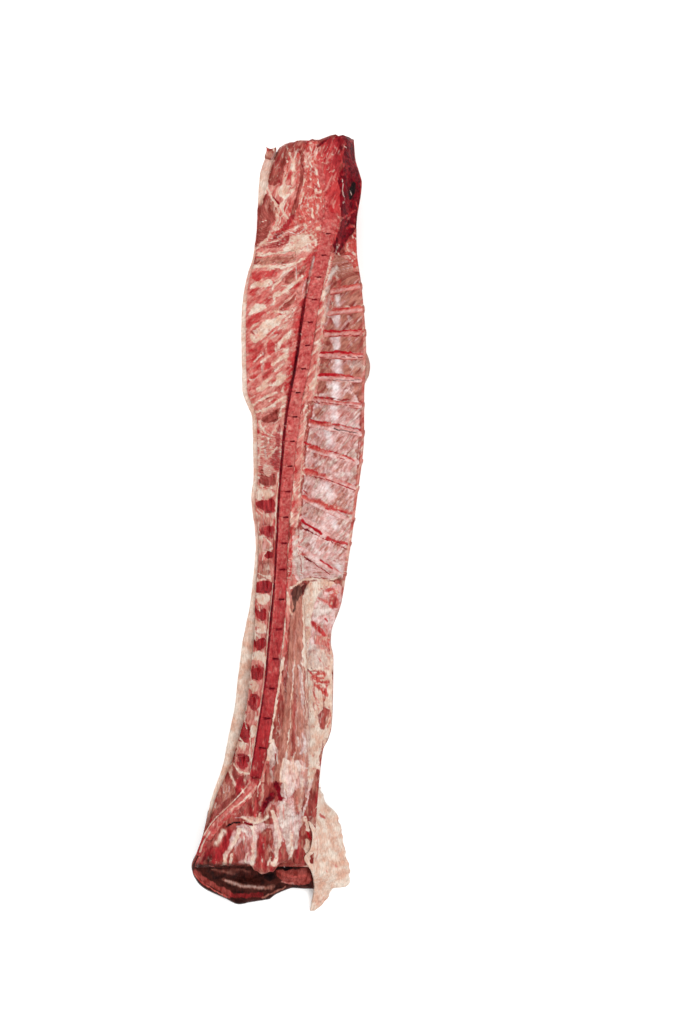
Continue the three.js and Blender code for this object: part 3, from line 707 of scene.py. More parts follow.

# %% The tenderloin and the end of the flank
# The pale membrane patch and the short membrane streak lower down on the right half are painted highlights on
# the silver skin.
TENDER = patch(
    218, 660, 11.6,
    """
marbled 0/0.8 340,0 560,0 540,300 480,700 420,1000 360,1330 190,1330 200,1000 240,700 290,400
garnet 0/1/0.8 400,50 530,60 530,180 495,242 405,222 385,170
fat 12/0.9 352,60 372,150 358,225
fat 0/0.6 340,245 450,245 475,300 440,370 400,375 350,310
garnet 0/1/0.8 370,400 440,388 492,430 492,520 430,600 372,572 345,500
marbled 9/0.8 310,400 325,500 355,600
tan 0/0.5 385,600 440,600 440,680 340,700 325,650
red 5/0.8 300,625 375,600
garnet 0/0.95/0.8 255,780 290,720 360,740 372,820 372,950 310,962 225,940 228,860
fat 8/0.9 308,720 332,800
fat 14/0.9 250,900 285,955 345,990
fat 0/0.85/0.8 370,770 420,740 480,820 430,880 380,905
fat 12/0.8 385,900 370,1040 385,1160
garnet 0/1/0.8 225,1070 360,1090 372,1170 330,1262 250,1272 208,1200
tan 20/0.6 225,1130 235,1180
fat 16/0.85 185,1220 225,1295 360,1310
red 0/0.8 200,1400 260,1350 322,1380 332,1460 280,1502 208,1480
fat 22/0.4 140,1180 160,1330 150,1450
fat 8/0.6 548,0 532,250 492,560 442,850 402,1100 372,1330
blood 24/1 572,0 562,200 522,450 484,700
blood 22/1 484,700 452,900 425,1100 402,1200 384,1335
fat 22/0.95 752,0 722,200 690,400 652,600 630,800 605,930
coral 10/0.6 770,150 735,300 705,470
fat 0/0.85 630,900 665,930 690,1020 640,1090 600,1170 555,1150 590,1000
red 14/0.8 580,1160 585,1190
marbled 28/0.9 560,1170 530,1300 510,1420 505,1560
tan 0/0.35 775,0 1000,0 1030,300 1050,560 1080,800 1085,1100 1040,1235 940,1240 850,1160 760,1100 705,1200
  640,1100 665,900 680,600 720,350 760,150
blood 8/0.8 785,180 770,250 790,290
fat 9/0.9/-1 888,0 875,200 852,450 845,700 822,900 800,1090
membrane 15/0.75 925,60 970,120 985,300 1000,500
membrane 8/0.5 955,320 980,480 1000,640
fat 12/0.4 960,10 990,60 1000,160
tan 14/0.4 965,130 930,300
membrane 0/0.3 935,900 1000,780 1060,800 1065,1000 1000,1080 950,1000
membrane 14/0.7 925,880 935,980
muscle 0/0.7 880,350 920,420 900,640 905,860 905,1080 860,1130 850,1000 862,700
muscle 20/0.4 965,930 985,1010
membrane 14/0.4 1045,500 1065,800 1065,1120
membrane 6/0.6 700,620 730,760
membrane 5/0.6 760,300 790,350
membrane 10/0.35 790,60 820,200
fat 26/0.95 1012,0 1030,200 1060,450 1100,700 1130,900 1142,1100 1150,1260
clot 6 1088,88 1092,94
clot 6 1138,88 1144,92
blood 9/0.8 1040,100 1080,128 1170,130
coral 0/0.7 1090,240 1200,240 1240,330 1180,380 1110,350
red 14/0.7 1130,290 1220,340
blood 10/0.75 1255,280 1240,340 1235,450 1225,560
red 16/0.3 1180,180 1290,130
garnet 0/0.85 1160,610 1225,560 1240,640 1225,740 1190,770 1155,700
coral 0/0.95 1238,560 1275,590 1262,740 1215,812 1180,800 1222,700
coral 12/0.5 1100,480 1110,520
red 12/0.7 1130,660 1140,680
coral 10/0.4 1070,340 1080,380
fat 22/0.9 1300,120 1300,400 1290,700 1265,880
clot 5/0.6 1200,905 1262,912
muscle 14/0.9/-1 1215,940 1200,1080 1185,1220
fat 0/0.9 760,1110 850,1165 910,1180 1040,1240 940,1300 900,1400 870,1568 750,1568 725,1400 715,1280 745,1200
membrane 14/0.6 650,1030 690,1100 700,1190
tan 0/0.75 600,1260 722,1250 722,1350 665,1440 580,1440
muscle 0/0.6 960,1395 1020,1370 1065,1420 1045,1568 935,1568
muscle 0/0.95 1090,1400 1165,1250 1192,1350 1155,1568 1080,1568
membrane 18/0.5 850,1180 1000,1240 1090,1240
red 12/0.35 985,1280 1000,1295
""",
)
print("strokes:", len(TENDER))

# %% The end of the flank and the rump
FLANK_END = patch(
    180, 510, 4,
    """
fat 0/0.8 500,560 612,560 612,760 606,900 588,915 566,1040 548,1110 525,1210 498,1190 518,1050 508,900 500,760
red 0/0.6 525,655 560,640 592,665 588,742 565,735 545,700
coral 0/0.7 560,700 590,690 592,765 570,770
red 5/0.6 535,560 560,600 590,640
red 6/0.5 520,640 540,720 545,780
coral 5/0.6 550,780 560,830
garnet 0/0.7 566,800 584,770 590,830 575,880 560,870
fat 7/0.8 520,900 530,980 525,1060 505,1150
membrane 8/0.6 500,900 505,980 490,1060
muscle 0/0.95 550,1035 562,1040 566,1090 555,1180 520,1205 535,1120
""",
)
# In the second grid, the dark brown glows along its foot are painted shade, where the upper meat overhangs
# the hollow, and the thin white streaks are painted highlights.
RUMP = patch(
    185, 780, 5.857,
    """
muscle 0 0,0 760,0 740,540 0,540
pleura 0/0.6 330,240 640,60 700,190 640,440 560,500 400,500 300,480 280,330
tan 0/0.7 175,20 330,0 300,60 240,120 190,170 150,210 140,160
membrane 6/0.6 215,25 225,80
membrane 6/0.6 190,100 180,160
fat 14/0.8 140,190 130,240 112,300
garnet 0/0.8 300,0 420,0 440,30 390,90 330,110 290,70
red 22/0.7 300,20 330,60
fat 9/0.7 345,0 330,40 350,75
marrow 46/0.95 400,20 370,90 300,150 230,215 160,290 105,370 65,450 50,500
garnet 14/0.7 440,0 420,60 350,110
marbled 16/0.9 420,30 390,80 310,145 235,205 165,270
fat 8/0.9 385,75 300,150 240,200 200,235
garnet 20/0.6 260,180 190,250 125,330 80,420
fat 9/0.6 150,300 110,360 85,420
blood 14/0.7 160,390 120,450 95,490
marrow 16/0.6 440,20 450,90 410,130
fat 14/0.4 455,20 462,80 440,140
blood 26/1/-1.5 535,15 550,60 560,100
blood 30/1/-2 510,80 475,135
blood 26/1/-2 465,145 430,205
muscle 0/0.8 475,180 530,120 540,200 530,260 470,250 450,220
tan 20/0.6 500,130 480,200
fat 10/0.75/0.8 330,210 365,222 400,246 440,240 485,212
fat 9/0.8/0.8 440,190 420,240 400,262
fat 9/0.8 340,240 390,262 420,280
clot 9/0.9 245,268 285,246 325,240
blood 13/0.9 350,245 395,258
garnet 0/0.55/1.5 245,285 310,272 305,330 262,385 225,440 205,485 140,492 185,400 212,340
umber 30/0.35 275,320 235,390 200,450
fat -17/0.75/0.8 232,295 205,335 190,368
fat 24/0.8/0.8 322,285 290,350 262,400 238,445 232,500
membrane 16/0.8 300,300 275,360
fat 14/0.8 275,430 265,490
membrane 34/0.7 350,290 345,330
muscle 0/0.6/1 320,350 392,335 390,440 350,455 285,482 300,410
fat 20/0.85/0.8 395,270 412,330 405,400 395,490
fat 12/0.6 370,420 350,490
muscle 0/1/2 430,320 500,258 520,330 520,420 505,500 480,530 440,535 415,480 420,400
garnet 18/0.5 470,330 440,420 440,500
tan 16/0.4 490,320 480,420
fat 22/0.8/0.8 512,180 540,262 558,340 545,400 522,490
fat 10/0.6 500,440 490,490
membrane 0/0.85 545,130 600,110 650,190 668,262 648,340 628,440 600,430 590,350 565,270 532,190
fat 18/0.7 620,300 632,380 622,440
muscle 0/0.95/1.5 562,350 590,370 615,470 560,492 540,470
membrane 0/0.6 560,0 640,0 640,60 600,110 560,90
fat 26/0.7 590,0 600,60
tan 0/0.9 650,50 705,20 715,90 685,180 648,170 630,110
muscle 16/0.5 690,40 675,150
pleura 12/0.95 745,0 722,100 692,200
muscle 0/1 742,20 792,25 782,150 742,192 708,192 722,120
umber 12/0.35 755,60 735,160
muscle 0/1/1.5 672,330 706,262 712,330 702,400 692,470 655,512 628,512 642,440
membrane 14/0.7 655,250 665,330 650,400
scarlet 12/0.95 708,262 722,310 738,348
fat 22/0.95 715,350 718,420 725,500
red 8/0.6 700,430 712,460
fat 18/0.9 700,215 725,290
""",
) + patch(
    185, 640, 5,
    """
garnet -26/0.5 225,960 190,1040 130,1080
umber -16/0.5 150,1060 110,1100
pleura -12/0.7 250,950 230,1010 212,1065
pleura -16/0.5 300,970 310,1050 320,1100
coral 5/0.5 300,960 305,1000 295,1040
coral 5/0.4 325,1010 330,1080
sheen -6/0.5 262,930 290,925 320,930
pleura -12/0.6 350,940 348,1010 352,1070
tan -18/0.5 400,960 405,1060 395,1130
garnet 7/0.4 375,990 380,1090
pleura -14/0.6 455,900 470,980 458,1060
garnet 7/0.5 480,1010 478,1100
pleura -24/0.6 525,680 520,760 535,840 540,940
sheen -9/0.5 500,740 512,800
sheen -8/0.5 540,860 550,940
tan 6/0.4 500,700 515,780 505,860
coral -8/0.35 560,780 570,860
fat -12/0.35 300,885 360,890 420,880
sheen 5/0.5 250,885 300,878 330,885
fat 5/0.6 330,700 280,765 210,835 140,900 90,980
coral -10/0.4 340,660 350,720
fat 6/0.6 400,560 385,640 372,720 365,780
membrane -10/0.5 420,560 430,620 440,700
red 6/0.6 360,800 340,850 355,880
fat -8/0.6 210,640 235,680 250,720
garnet 0/0.8 258,692 300,688 305,735 262,742
coral 6/0.4 200,840 150,880 110,960
umber -20/0.85 60,1134 140,1132 220,1130 300,1132
umber -20/0.4 150,1060 120,1100
tan -24/0.35 190,1000 160,1060
marbled -12/0.4 345,700 300,770 240,832 170,892 110,970
coral -9/0.4 330,760 260,840 180,920 110,1010
garnet -26/0.3 250,870 330,850 400,850
garnet -30/0.4 210,1000 160,1080
garnet -16/0.25 300,1030 310,1090
garnet -22/0.5 385,970 395,1060 400,1130
membrane -9/0.6 510,560 500,625 490,680
fat 6/0.6 548,560 540,610 545,650
membrane -12/0.3 300,720 330,740
fat -9/0.4 590,700 585,760 575,840
""",
)
print("strokes:", len(FLANK_END) + len(RUMP))

# %% The tenderloin's membrane, with painted highlights
TENDER_SHEEN = patch(
    185, 640, 5,
    """
membrane 0/0.2 548,60 598,40 625,200 632,400 628,560 565,590 545,500 548,300
tan 6/0.4 560,120 575,260 570,400 585,520
muscle 5/0.35 590,80 602,200 600,330
membrane 0/0.2 500,90 535,90 530,250 508,330 492,250
sheen -8/0.4 572,150 588,250 584,330
sheen -7/0.4 545,110 540,220
muscle 9/0.35 605,150 616,300 610,420
sheen -8/0.55 588,460 604,520 580,560
pleura 0/0.45 480,600 600,590 620,700 610,850 560,870 500,800
tan 7/0.5 522,620 540,700 530,800
membrane 14/0.6 562,600 582,700 600,800
sheen 6/0.5 545,640 552,720
coral 5/0.4 500,640 510,700 500,760
membrane 0/0.5 425,520 455,500 470,560 455,620 430,640
sheen 5/0.6 440,520 455,560
membrane 0/0.5 615,20 700,20 730,80 715,135 640,145 612,110
coral -8/0.4 690,40 715,70
red -5/0.8 615,150 640,175 625,192
coral -6/0.6 640,150 700,150 720,130
coral 0/0.75 640,165 700,152 725,200 715,240 680,250 650,235 635,200
fat 8/0.6 660,180 690,176
fat 8/0.5 655,215 700,226
red -7/0.7 690,215 712,235 706,262
coral -8/0.7 640,242 650,290 670,312
red -5/0.6 640,320 650,350
red -6/0.6 655,185 665,220
red -4/0.5 700,60 712,90
membrane -8/0.6 650,60 670,110
muscle 0/0.8 690,335 722,340 722,400 700,450 675,455 668,410
coral 6/0.8 722,330 728,400 712,440
""",
)
print("strokes:", len(TENDER_SHEEN))

# %% The chest wall
# The pale rounded blobs in the spaces between the ribs are painted highlights on the wet chest wall.
WALL = patch(
    235, 250, 10.45,
    """
tan 0/0.75 1000,40 1100,60 1240,180 1340,400 1390,800 1440,1300 1400,1600 820,1600 880,1000 940,600 980,300
marbled 52/0.9 1010,60 990,160 960,280 940,400 920,560 900,720 890,900 870,1100 840,1250 820,1400 800,1560
fat 22/0.55 1000,90 985,180 955,300 935,420 915,580 898,740 885,900 865,1100 840,1260 815,1420 800,1560
membrane 40/0.7 1060,180 1000,260 980,350 960,440
coral 40/0.5 1050,300 1100,340 1060,420 1020,520 1000,640
pleura 60/0.8 1070,440 1065,500
pleura 66/0.85 1060,660 1062,745
pleura 76/0.9 1045,900 1050,990
pleura 80/0.9 1035,1130 1040,1215
pleura 90/0.9 1010,1370 1020,1460
pleura 40/0.5 1190,700 1220,760
pleura 40/0.55 1190,930 1220,990
pleura 50/0.6 1180,1160 1220,1220
pleura 60/0.6 1180,1400 1220,1460
marbled 30/0.6 930,560 900,720 870,950 850,1150
muscle 16/0.8 1300,340 1340,600 1360,800 1370,900 1350,1200 1340,1400 1340,1560
red 14/0.5 960,330 930,430
red 14/0.5 900,700 880,800
red 14/0.5 850,1120 830,1250
""",
) + patch(
    235, 390, 10.45,
    """
pleura 0/0.7 840,0 1350,0 1310,700 1240,1400 1200,1600 690,1600 720,800 790,300
marbled 46/0.9 760,0 770,150 740,330 720,500 700,700 690,850 680,1000 670,1150 660,1300 640,1400
fat 18/0.3 765,0 768,150 740,330 722,500 702,700 690,850 680,1000 670,1150 655,1300 640,1420
coral 40/0.5 650,850 640,1000 640,1200 620,1350
muscle 10/0.8 790,0 770,200 755,350 720,520 700,720 685,850 690,1000 680,1100
pleura 50/0.8 1000,220 1060,260
pleura 60/0.8 980,480 1080,540
pleura 70/0.8 900,760 1100,830
pleura 80/0.8 850,1080 1100,1150
pleura 80/0.8 800,1290 1080,1400
pleura 70/0.7 760,1500 900,1560
red 20/0.8 730,95 700,180 690,240
red 20/0.8 690,335 660,400 640,450
red 20/0.8 640,570 630,700
red 18/0.7 625,870 610,980
red 18/0.7 600,1150 590,1280
red 18/0.7 640,1380 600,1460
muscle 14/0.7 1330,0 1320,150 1310,400 1290,600 1280,850 1260,1050 1250,1200 1230,1400
""",
)


def hatching(left, right, top, bottom, step, lean=0.8, strength=0.6):
    """Slanting stripes, as the fibres between two ribs show through the membrane."""
    run = lean * (bottom - top)
    stripes = ((strength, x, bottom, x + run, top) for x in range(left, right, step))
    return " ".join("tan 6/%g %g,%g %g,%g" % stripe for stripe in stripes)


# The soft white glows in each space between the ribs are painted highlights, where the wet wall swells
# between two ribs.
BETWEEN_RIBS = patch(
    275, 300, 10,
    """
marbled 0/0.9 440,-20 530,-20 520,100 500,200 490,280 500,400 470,500 440,620 440,740 430,850 420,1000
  280,1000 300,850 320,700 370,560 395,400 420,200
fat 16/0.5 505,0 500,100 480,200 470,300 455,420 440,520 425,650 405,750 400,850 385,1000
red 9/0.8 460,20 455,90
red 10/0.6 395,180 385,280
coral 14/0.7 400,600 385,700
red 10/0.7 310,760 335,900
red 10/0.7 330,860 320,980
red 10/0.8 500,300 480,330
tan 5/0.6 545,60 520,200 500,380 470,470 440,600 430,720 435,850 430,1000
coral 0/0.5 540,60 600,70 720,60 870,70 880,130 700,130 560,110
""",
    hatching(690, 860, 150, 270, 32), hatching(690, 850, 375, 480, 32), hatching(690, 860, 590, 720, 34),
    hatching(650, 860, 820, 960, 36), hatching(660, 830, -60, 50, 34),
    """
muscle 0/0.8 545,190 570,180 592,230 560,262
muscle 0/0.6 505,420 540,415 565,440 535,465 505,455
tan 0/0.7 455,650 490,640 520,670 480,700
tan 0/0.5 450,860 500,850 520,940 450,960
sheen -36/0.75 620,165 622,255
sheen -42/0.75 608,375 612,480
sheen -48/0.85 628,590 632,730
sheen -50/0.85 608,830 610,980
sheen -34/0.6 620,0 622,40
membrane -60/0.4 800,640 860,660
membrane -30/0.5 520,60 530,150
tan -30/0.5 570,60 560,120
""",
) + patch(
    240, 400, 6,
    """
marbled 0/0.85 325,-20 378,-20 376,200 366,400 352,600 352,720 330,760 292,760 306,500 322,250
red 8/0.8 345,20 340,90
red 8/0.7 365,60 358,160 345,230
red 8/0.7 335,260 345,330
red 8/0.7 330,380 338,470
red 7/0.7 318,520 325,640
coral 10/0.6 340,560 342,660
marbled 13/0.6 395,0 385,120 378,240 370,380 360,500 352,640
fat 5/0.35 395,0 385,120 378,240 370,380 360,500 352,640
tan 5/0.6 408,10 398,130 388,260 378,400 366,540 358,660
""",
    hatching(590, 680, 20, 110, 22, 0.9), hatching(440, 500, 40, 110, 22, 0.9, strength=0.35),
    hatching(470, 680, 190, 300, 22, 0.5, strength=0.4), hatching(450, 660, 330, 430, 22, 0.4, strength=0.4),
    hatching(420, 660, 460, 560, 24, 0.4, strength=0.3),
    hatching(560, 650, 520, 640, 22, 0.6, strength=0.45),
    hatching(390, 500, 640, 730, 22, 0.6, strength=0.35),
    hatching(520, 640, 720, 840, 24, 0.6, strength=0.4),
    hatching(390, 600, 800, 900, 24, 0.5, strength=0.35),
    """
tan 0/0.6 435,60 480,35 505,80 460,112
tan 0/0.5 420,210 450,190 490,240 450,262
tan 0/0.4 560,540 620,530 640,600 590,620
tan 0/0.4 400,640 450,640 460,700 410,720
sheen -30/0.65 555,30 570,115
sheen -34/0.6 525,195 545,260
sheen -28/0.4 500,320 550,345
sheen -34/0.55 515,500 530,560
sheen -28/0.65 545,690 575,765
sheen -24/0.4 440,880 480,920
sheen -22/0.6 590,1000 605,1045
membrane 0/0.6 330,780 375,755 390,900 380,1062 340,1062 325,900
membrane 9/0.5 345,760 340,850 348,950 352,1050
garnet 4/0.6 355,770 350,870 362,960 368,1040
coral -30/0.5 450,300 520,330
coral -26/0.6 400,420 470,450
coral -26/0.4 400,590 470,620
""",
)

RIB_MARKS = patch(
    240, 240, 6.5,
    """
coral 6/0.8 650,302 700,296 780,290
red 5/0.6 690,306 730,298
coral -8/0.8 610,458 700,444 790,430
scarlet 6/0.8 612,452 660,446 700,444
scarlet 10/0.85 545,592 640,588 730,590 800,582
garnet 4/0.7 640,616 740,622 810,612
scarlet 13/0.95 538,738 580,727 660,728 720,734
scarlet 6/0.7 700,734 800,746
blood 5/0.75 635,760 720,759 800,768
scarlet 16/1 512,884 560,872 640,876
red 10/0.8 630,876 740,886
clot 6/0.6 575,906 640,912 720,912 800,906
garnet 7/0.8 488,1022 560,1026 700,1036
membrane 5/0.5 590,918 640,922 700,920
""",
) + patch(
    240, 400, 6,
    """
garnet 4/0.8 430,12 560,22 720,42
scarlet 14/1 420,122 470,132 540,142
red 9/0.7 530,142 640,156 720,180
clot 7/0.75 560,172 620,184 700,202
clot 3/0.6 500,154 570,174
coral -12/0.5 420,130 520,150
scarlet 11/1 388,260 430,274 470,288
coral -14/0.7 420,280 520,322
red 5/0.8 460,288 540,306 600,325 690,365
garnet 3/0.8 530,338 600,350 690,369
scarlet 12/0.95 380,420 440,428 465,440
coral -14/0.7 390,430 500,452
garnet 5/0.9 430,456 520,480 600,506 690,540
scarlet 6/0.9 388,545 402,562
coral -12/0.7 378,588 480,614 560,640 660,676
red 8/0.8 510,648 600,664 668,680
red 6/0.8 545,640 560,650
scarlet 15/1 368,718 400,744 450,775 490,802
blood 9/0.85 386,774 440,802
garnet 3/0.9 440,802 540,846 650,896
red 16/0.75 520,828 600,850 650,868
coral -14/0.8 366,915 390,930
blood 8/0.9 384,940 430,968
garnet 3/0.9 430,968 540,1042
scarlet 13/0.8 485,962 520,985 552,1008
""",
)
FLANK_MARKS = patch(
    295, 465, 8,
    """
fat 0/0.95 105,940 180,925 300,925 322,960 200,1010 165,1090 140,1160 130,1250 120,1400 100,1500 95,1610
  58,1610 68,1400 62,1200 55,1080 80,1010
umber 0/0.4 320,908 395,880 380,925 350,955 340,935
coral -18/0.85 255,1005 300,990 320,1010
red 6/0.6 262,1015 300,1000
coral -14/0.6 190,1085 250,1080 290,1130
coral -34/0.7 300,1070 330,1110
red -20/0.75 310,1060 335,1100 310,1130
garnet 5/0.5 300,1110 330,1135
membrane 0/0.6 180,1105 230,1110 300,1160 290,1212 230,1205 150,1225 150,1150
membrane 5/0.7 180,1080 220,1110 260,1130
garnet 5/0.7 180,1150 200,1150
coral -26/0.6 160,1280 200,1330 240,1370
red -15/0.8 145,1255 165,1300 200,1335 245,1368
garnet 5/0.5 220,1350 245,1370
red 9/0.8 240,1232 256,1250
coral -12/0.4 230,1290 260,1330
coral 0/0.45 160,1370 270,1370 282,1430 200,1420
garnet 8/0.6 250,1480 272,1522 282,1500
coral -30/0.7 200,1540 250,1550 240,1600
sheen -14/0.4 150,1400 160,1470
garnet 6/0.6 98,1500 92,1560
fat -10/0.6 290,1440 300,1580
marbled 8/0.5 200,1450 250,1470
""",
)
print("strokes:", len(WALL) + len(BETWEEN_RIBS) + len(RIB_MARKS) + len(FLANK_MARKS))

# %% [markdown]
# ## From strokes to weights
# The outline of a patch is rounded by cutting its corners, and the points that read the chart are
# shifted a little by noise, so that a boundary wanders as it does in flesh. Later strokes cover
# earlier ones, like paint.

# %% Fibres and marbling
LEAN_TISSUES = {"muscle": 0.6, "red": 0.65, "garnet": 0.4, "coral": 0.65, "tan": 0.3, "marrow": 0.15}
PALE_TISSUES = {"fat": 0.25, "marbled": 0.9, "pleura": 0.15, "membrane": 0.1}

# What each tissue is flecked with: other tissue, share, and whether the flecks follow the fibres.
FLECKS = {
    "marbled": (("red", 0.28, True), ("fat", 0.3, True)),
    "coral": (("red", 0.42, False), ("fat", 0.22, False), ("marbled", 0.3, False)),
    "marrow": (("garnet", 0.2, False), ("marbled", 0.26, False)),
    "fat": (("marbled", 0.1, False),),
    "pleura": (("tan", 0.12, True), ("membrane", 0.35, True)),
    "membrane": (("marbled", 0.1, True),),
    "garnet": (("red", 0.2, True), ("blood", 0.15, False)),
    "muscle": (("garnet", 0.16, True), ("tan", 0.3, True)),
    "tan": (("muscle", 0.3, True), ("pleura", 0.22, True)),
    "blood": (("garnet", 0.2, False),),
    "red": (("garnet", 0.25, True), ("marbled", 0.25, True)),
}


def grain(mm):
    """Places measured across and along the fibres, which lean in the neck and the chest."""
    x, s = mm[:, 0] + MID_X, MID_S - mm[:, 1]
    left = 1 - smooth(-4, 6, x - spine(s))
    chest = smooth(110, 150, s) * (1 - smooth(380, 450, s))
    wall = (1 - left) * smooth(150, 190, s) * (1 - smooth(550, 580, s))
    angle = 0.95 * chest * left + 0.4 * (1 - smooth(90, 140, s)) + 0.75 * wall
    c, k = np.cos(angle), np.sin(angle)
    return np.stack([c * x + k * s, (c * s - k * x) * 0.24, mm[:, 2]], 1)


def marbled(mm, weights, amount):
    """Threads of fat in the lean and red flecks in the fat, both drawn out along the fibres."""
    q = grain(mm)[:, :2]
    thread = np.clip(1 - np.abs(cloudy(q, 4.2, 121)) * 4.5, 0, 1)
    thread = thread * smooth(-0.15, 0.45, cloudy(mm[:, :2], 15, 131))
    fleck = smooth(0.12, 0.5, cloudy(q, 3.6, 141)) * smooth(-0.3, 0.4, cloudy(mm[:, :2], 19, 151))
    given = weights.copy()
    fields = {}
    for n, (tissue, flecks) in enumerate(FLECKS.items()):
        own = given[:, TISSUES.index(tissue)]
        for k, (other, share, fibrous) in enumerate(flecks):
            key = (n % 3, k, fibrous)
            if key not in fields:
                seed = 161 + 10 * (n % 3) + 3 * k
                fields[key] = cloudy(q if fibrous else mm[:, :2], 3.4, seed)
            moved = own * smooth(0.3 - share, 0.85 - share, fields[key]) * 0.75 * amount
            weights[:, TISSUES.index(tissue)] -= moved
            weights[:, TISSUES.index(other)] += moved
    weights = np.clip(weights, 0, None)
    for shares, mask, target in (
        (LEAN_TISSUES, thread * 0.75 * amount, "fat"),
        (PALE_TISSUES, fleck * 0.7 * amount, "red"),
    ):
        taken = 0
        for tissue, share in shares.items():
            i = TISSUES.index(tissue)
            moved = weights[:, i] * mask * share
            weights[:, i] -= moved
            taken = taken + moved
        weights[:, TISSUES.index(target)] += taken
    return weights


# %% Reading the chart
CANAL_RADIUS, CANAL_DEPTH = 3.5, 4.2
CHART_EDGE = 0.65  # pixels over which one tissue turns into the next


def canal_line(s):
    """The middle of the sawn canal, beside the row of vertebrae."""
    return spine(s) - spine_half(s) - 0.75 * CANAL_RADIUS


def rounded(path, closed, times=2):
    """Cuts the corners of a line of points, which makes a curve of it."""
    for _ in range(times):
        a = path if closed else path[:-1]
        b = np.roll(path, -1, 0) if closed else path[1:]
        cut = np.stack([0.75 * a + 0.25 * b, 0.25 * a + 0.75 * b], 1).reshape(-1, 2)
        path = cut if closed else np.concatenate([path[:1], cut, path[-1:]])
    return path


def reach(points, path, closed):
    """The distance from each point to a line, and whether it lies inside, if the line is closed."""
    starts = path if closed else path[:-1]
    ends = np.roll(path, -1, 0) if closed else path[1:]
    best, inside = np.full(len(points), np.inf), np.zeros(len(points), bool)
    for a, b in zip(starts, ends):
        d = b - a
        t = np.clip(((points - a) @ d) / max(d @ d, 1e-9), 0, 1)
        best = np.minimum(best, np.hypot(*(points - a - t[:, None] * d).T))
        if closed:
            crosses = (a[1] > points[:, 1]) != (b[1] > points[:, 1])
            beside = a[0] + (points[:, 1] - a[1]) * d[0] / (d[1] or 1e-9)
            inside ^= crosses & (points[:, 0] < beside)
    return best, inside


def read_chart(points, strokes, ground):
    """Weights of the tissues and relief in millimetres, at places in the photograph."""
    mm = points * PIXEL
    wander = [cloudy(mm, 8, seed) * 1.1 + noise(mm, 2.9, seed + 4) * 0.5 for seed in (3, 21)]
    ragged = noise(mm, 4.2, 15) * 0.5 + noise(mm, 2.6, 17) * 0.4
    s = mm[:, 1] - (ORIGIN_PIXEL[1] * PIXEL - MID_S)
    x = mm[:, 0] - (ORIGIN_PIXEL[0] * PIXEL - MID_X)
    calm = 0.15 + 0.85 * smooth(1.5, 9, np.abs(x - canal_line(s)))
    ragged *= calm
    at = points + np.stack(wander, 1) * calm[:, None]
    weights = np.zeros((len(points), len(TISSUES)))
    weights[:, TISSUES.index(ground)] = 1
    relief = np.zeros(len(points))
    for tissue, width, path, strength, lift in strokes:
        closed = width == 0
        path = rounded(path, closed, 1 if closed else 2)
        margin = max(width, -2 * width, 1) + 1
        near = np.flatnonzero(np.all((at > path.min(0) - margin) & (at < path.max(0) + margin), 1))
        if len(near) == 0:
            continue
        distance, inside = reach(at[near], path, closed)
        if closed:
            mask = smooth(-CHART_EDGE, CHART_EDGE, np.where(inside, distance, -distance) + ragged[near])
        elif width < 0:
            mask = np.exp(-((distance / width) ** 2))
        else:
            mask = 1 - smooth(width * 0.3, width * 0.7 + 0.25, distance * (1 + 0.45 * ragged[near]))
        mask = mask * strength
        weights[near] *= 1 - mask[:, None]
        weights[near, TISSUES.index(tissue)] += mask
        relief[near] += lift * mask
    return weights, relief


def cover(weights, tissue, share):
    """Lays a tissue over the others, like paint: share is how much of it covers each point."""
    share = np.clip(share, 0, 1)[:, None]
    weights = weights * (1 - share)
    weights[:, TISSUES.index(tissue)] += share[:, 0]
    return weights


CHART = (
    NECK + CHEST + CANAL + MIDDLE + LOIN + BACK_PATCHES + FLANK + WALL + BETWEEN_RIBS + RIB_MARKS
    + FLANK_MARKS + FLANK_END + TENDER + TENDER_SHEEN + RUMP
)
print("tissues:", len(TISSUES), "strokes in the chart:", len(CHART))

# %% [markdown]
# ## Meat as a material
# Raw meat is wet and slightly see-through. What the eye gets is the colour of each tissue, mottled
# at the scale of a few millimetres, a fine roughness, and a thin film of water over it all. Every
# piece carries the weights of the tissues on its vertices. The material mixes the tissue colours by
# those weights, and noise makes the borders between them frayed.

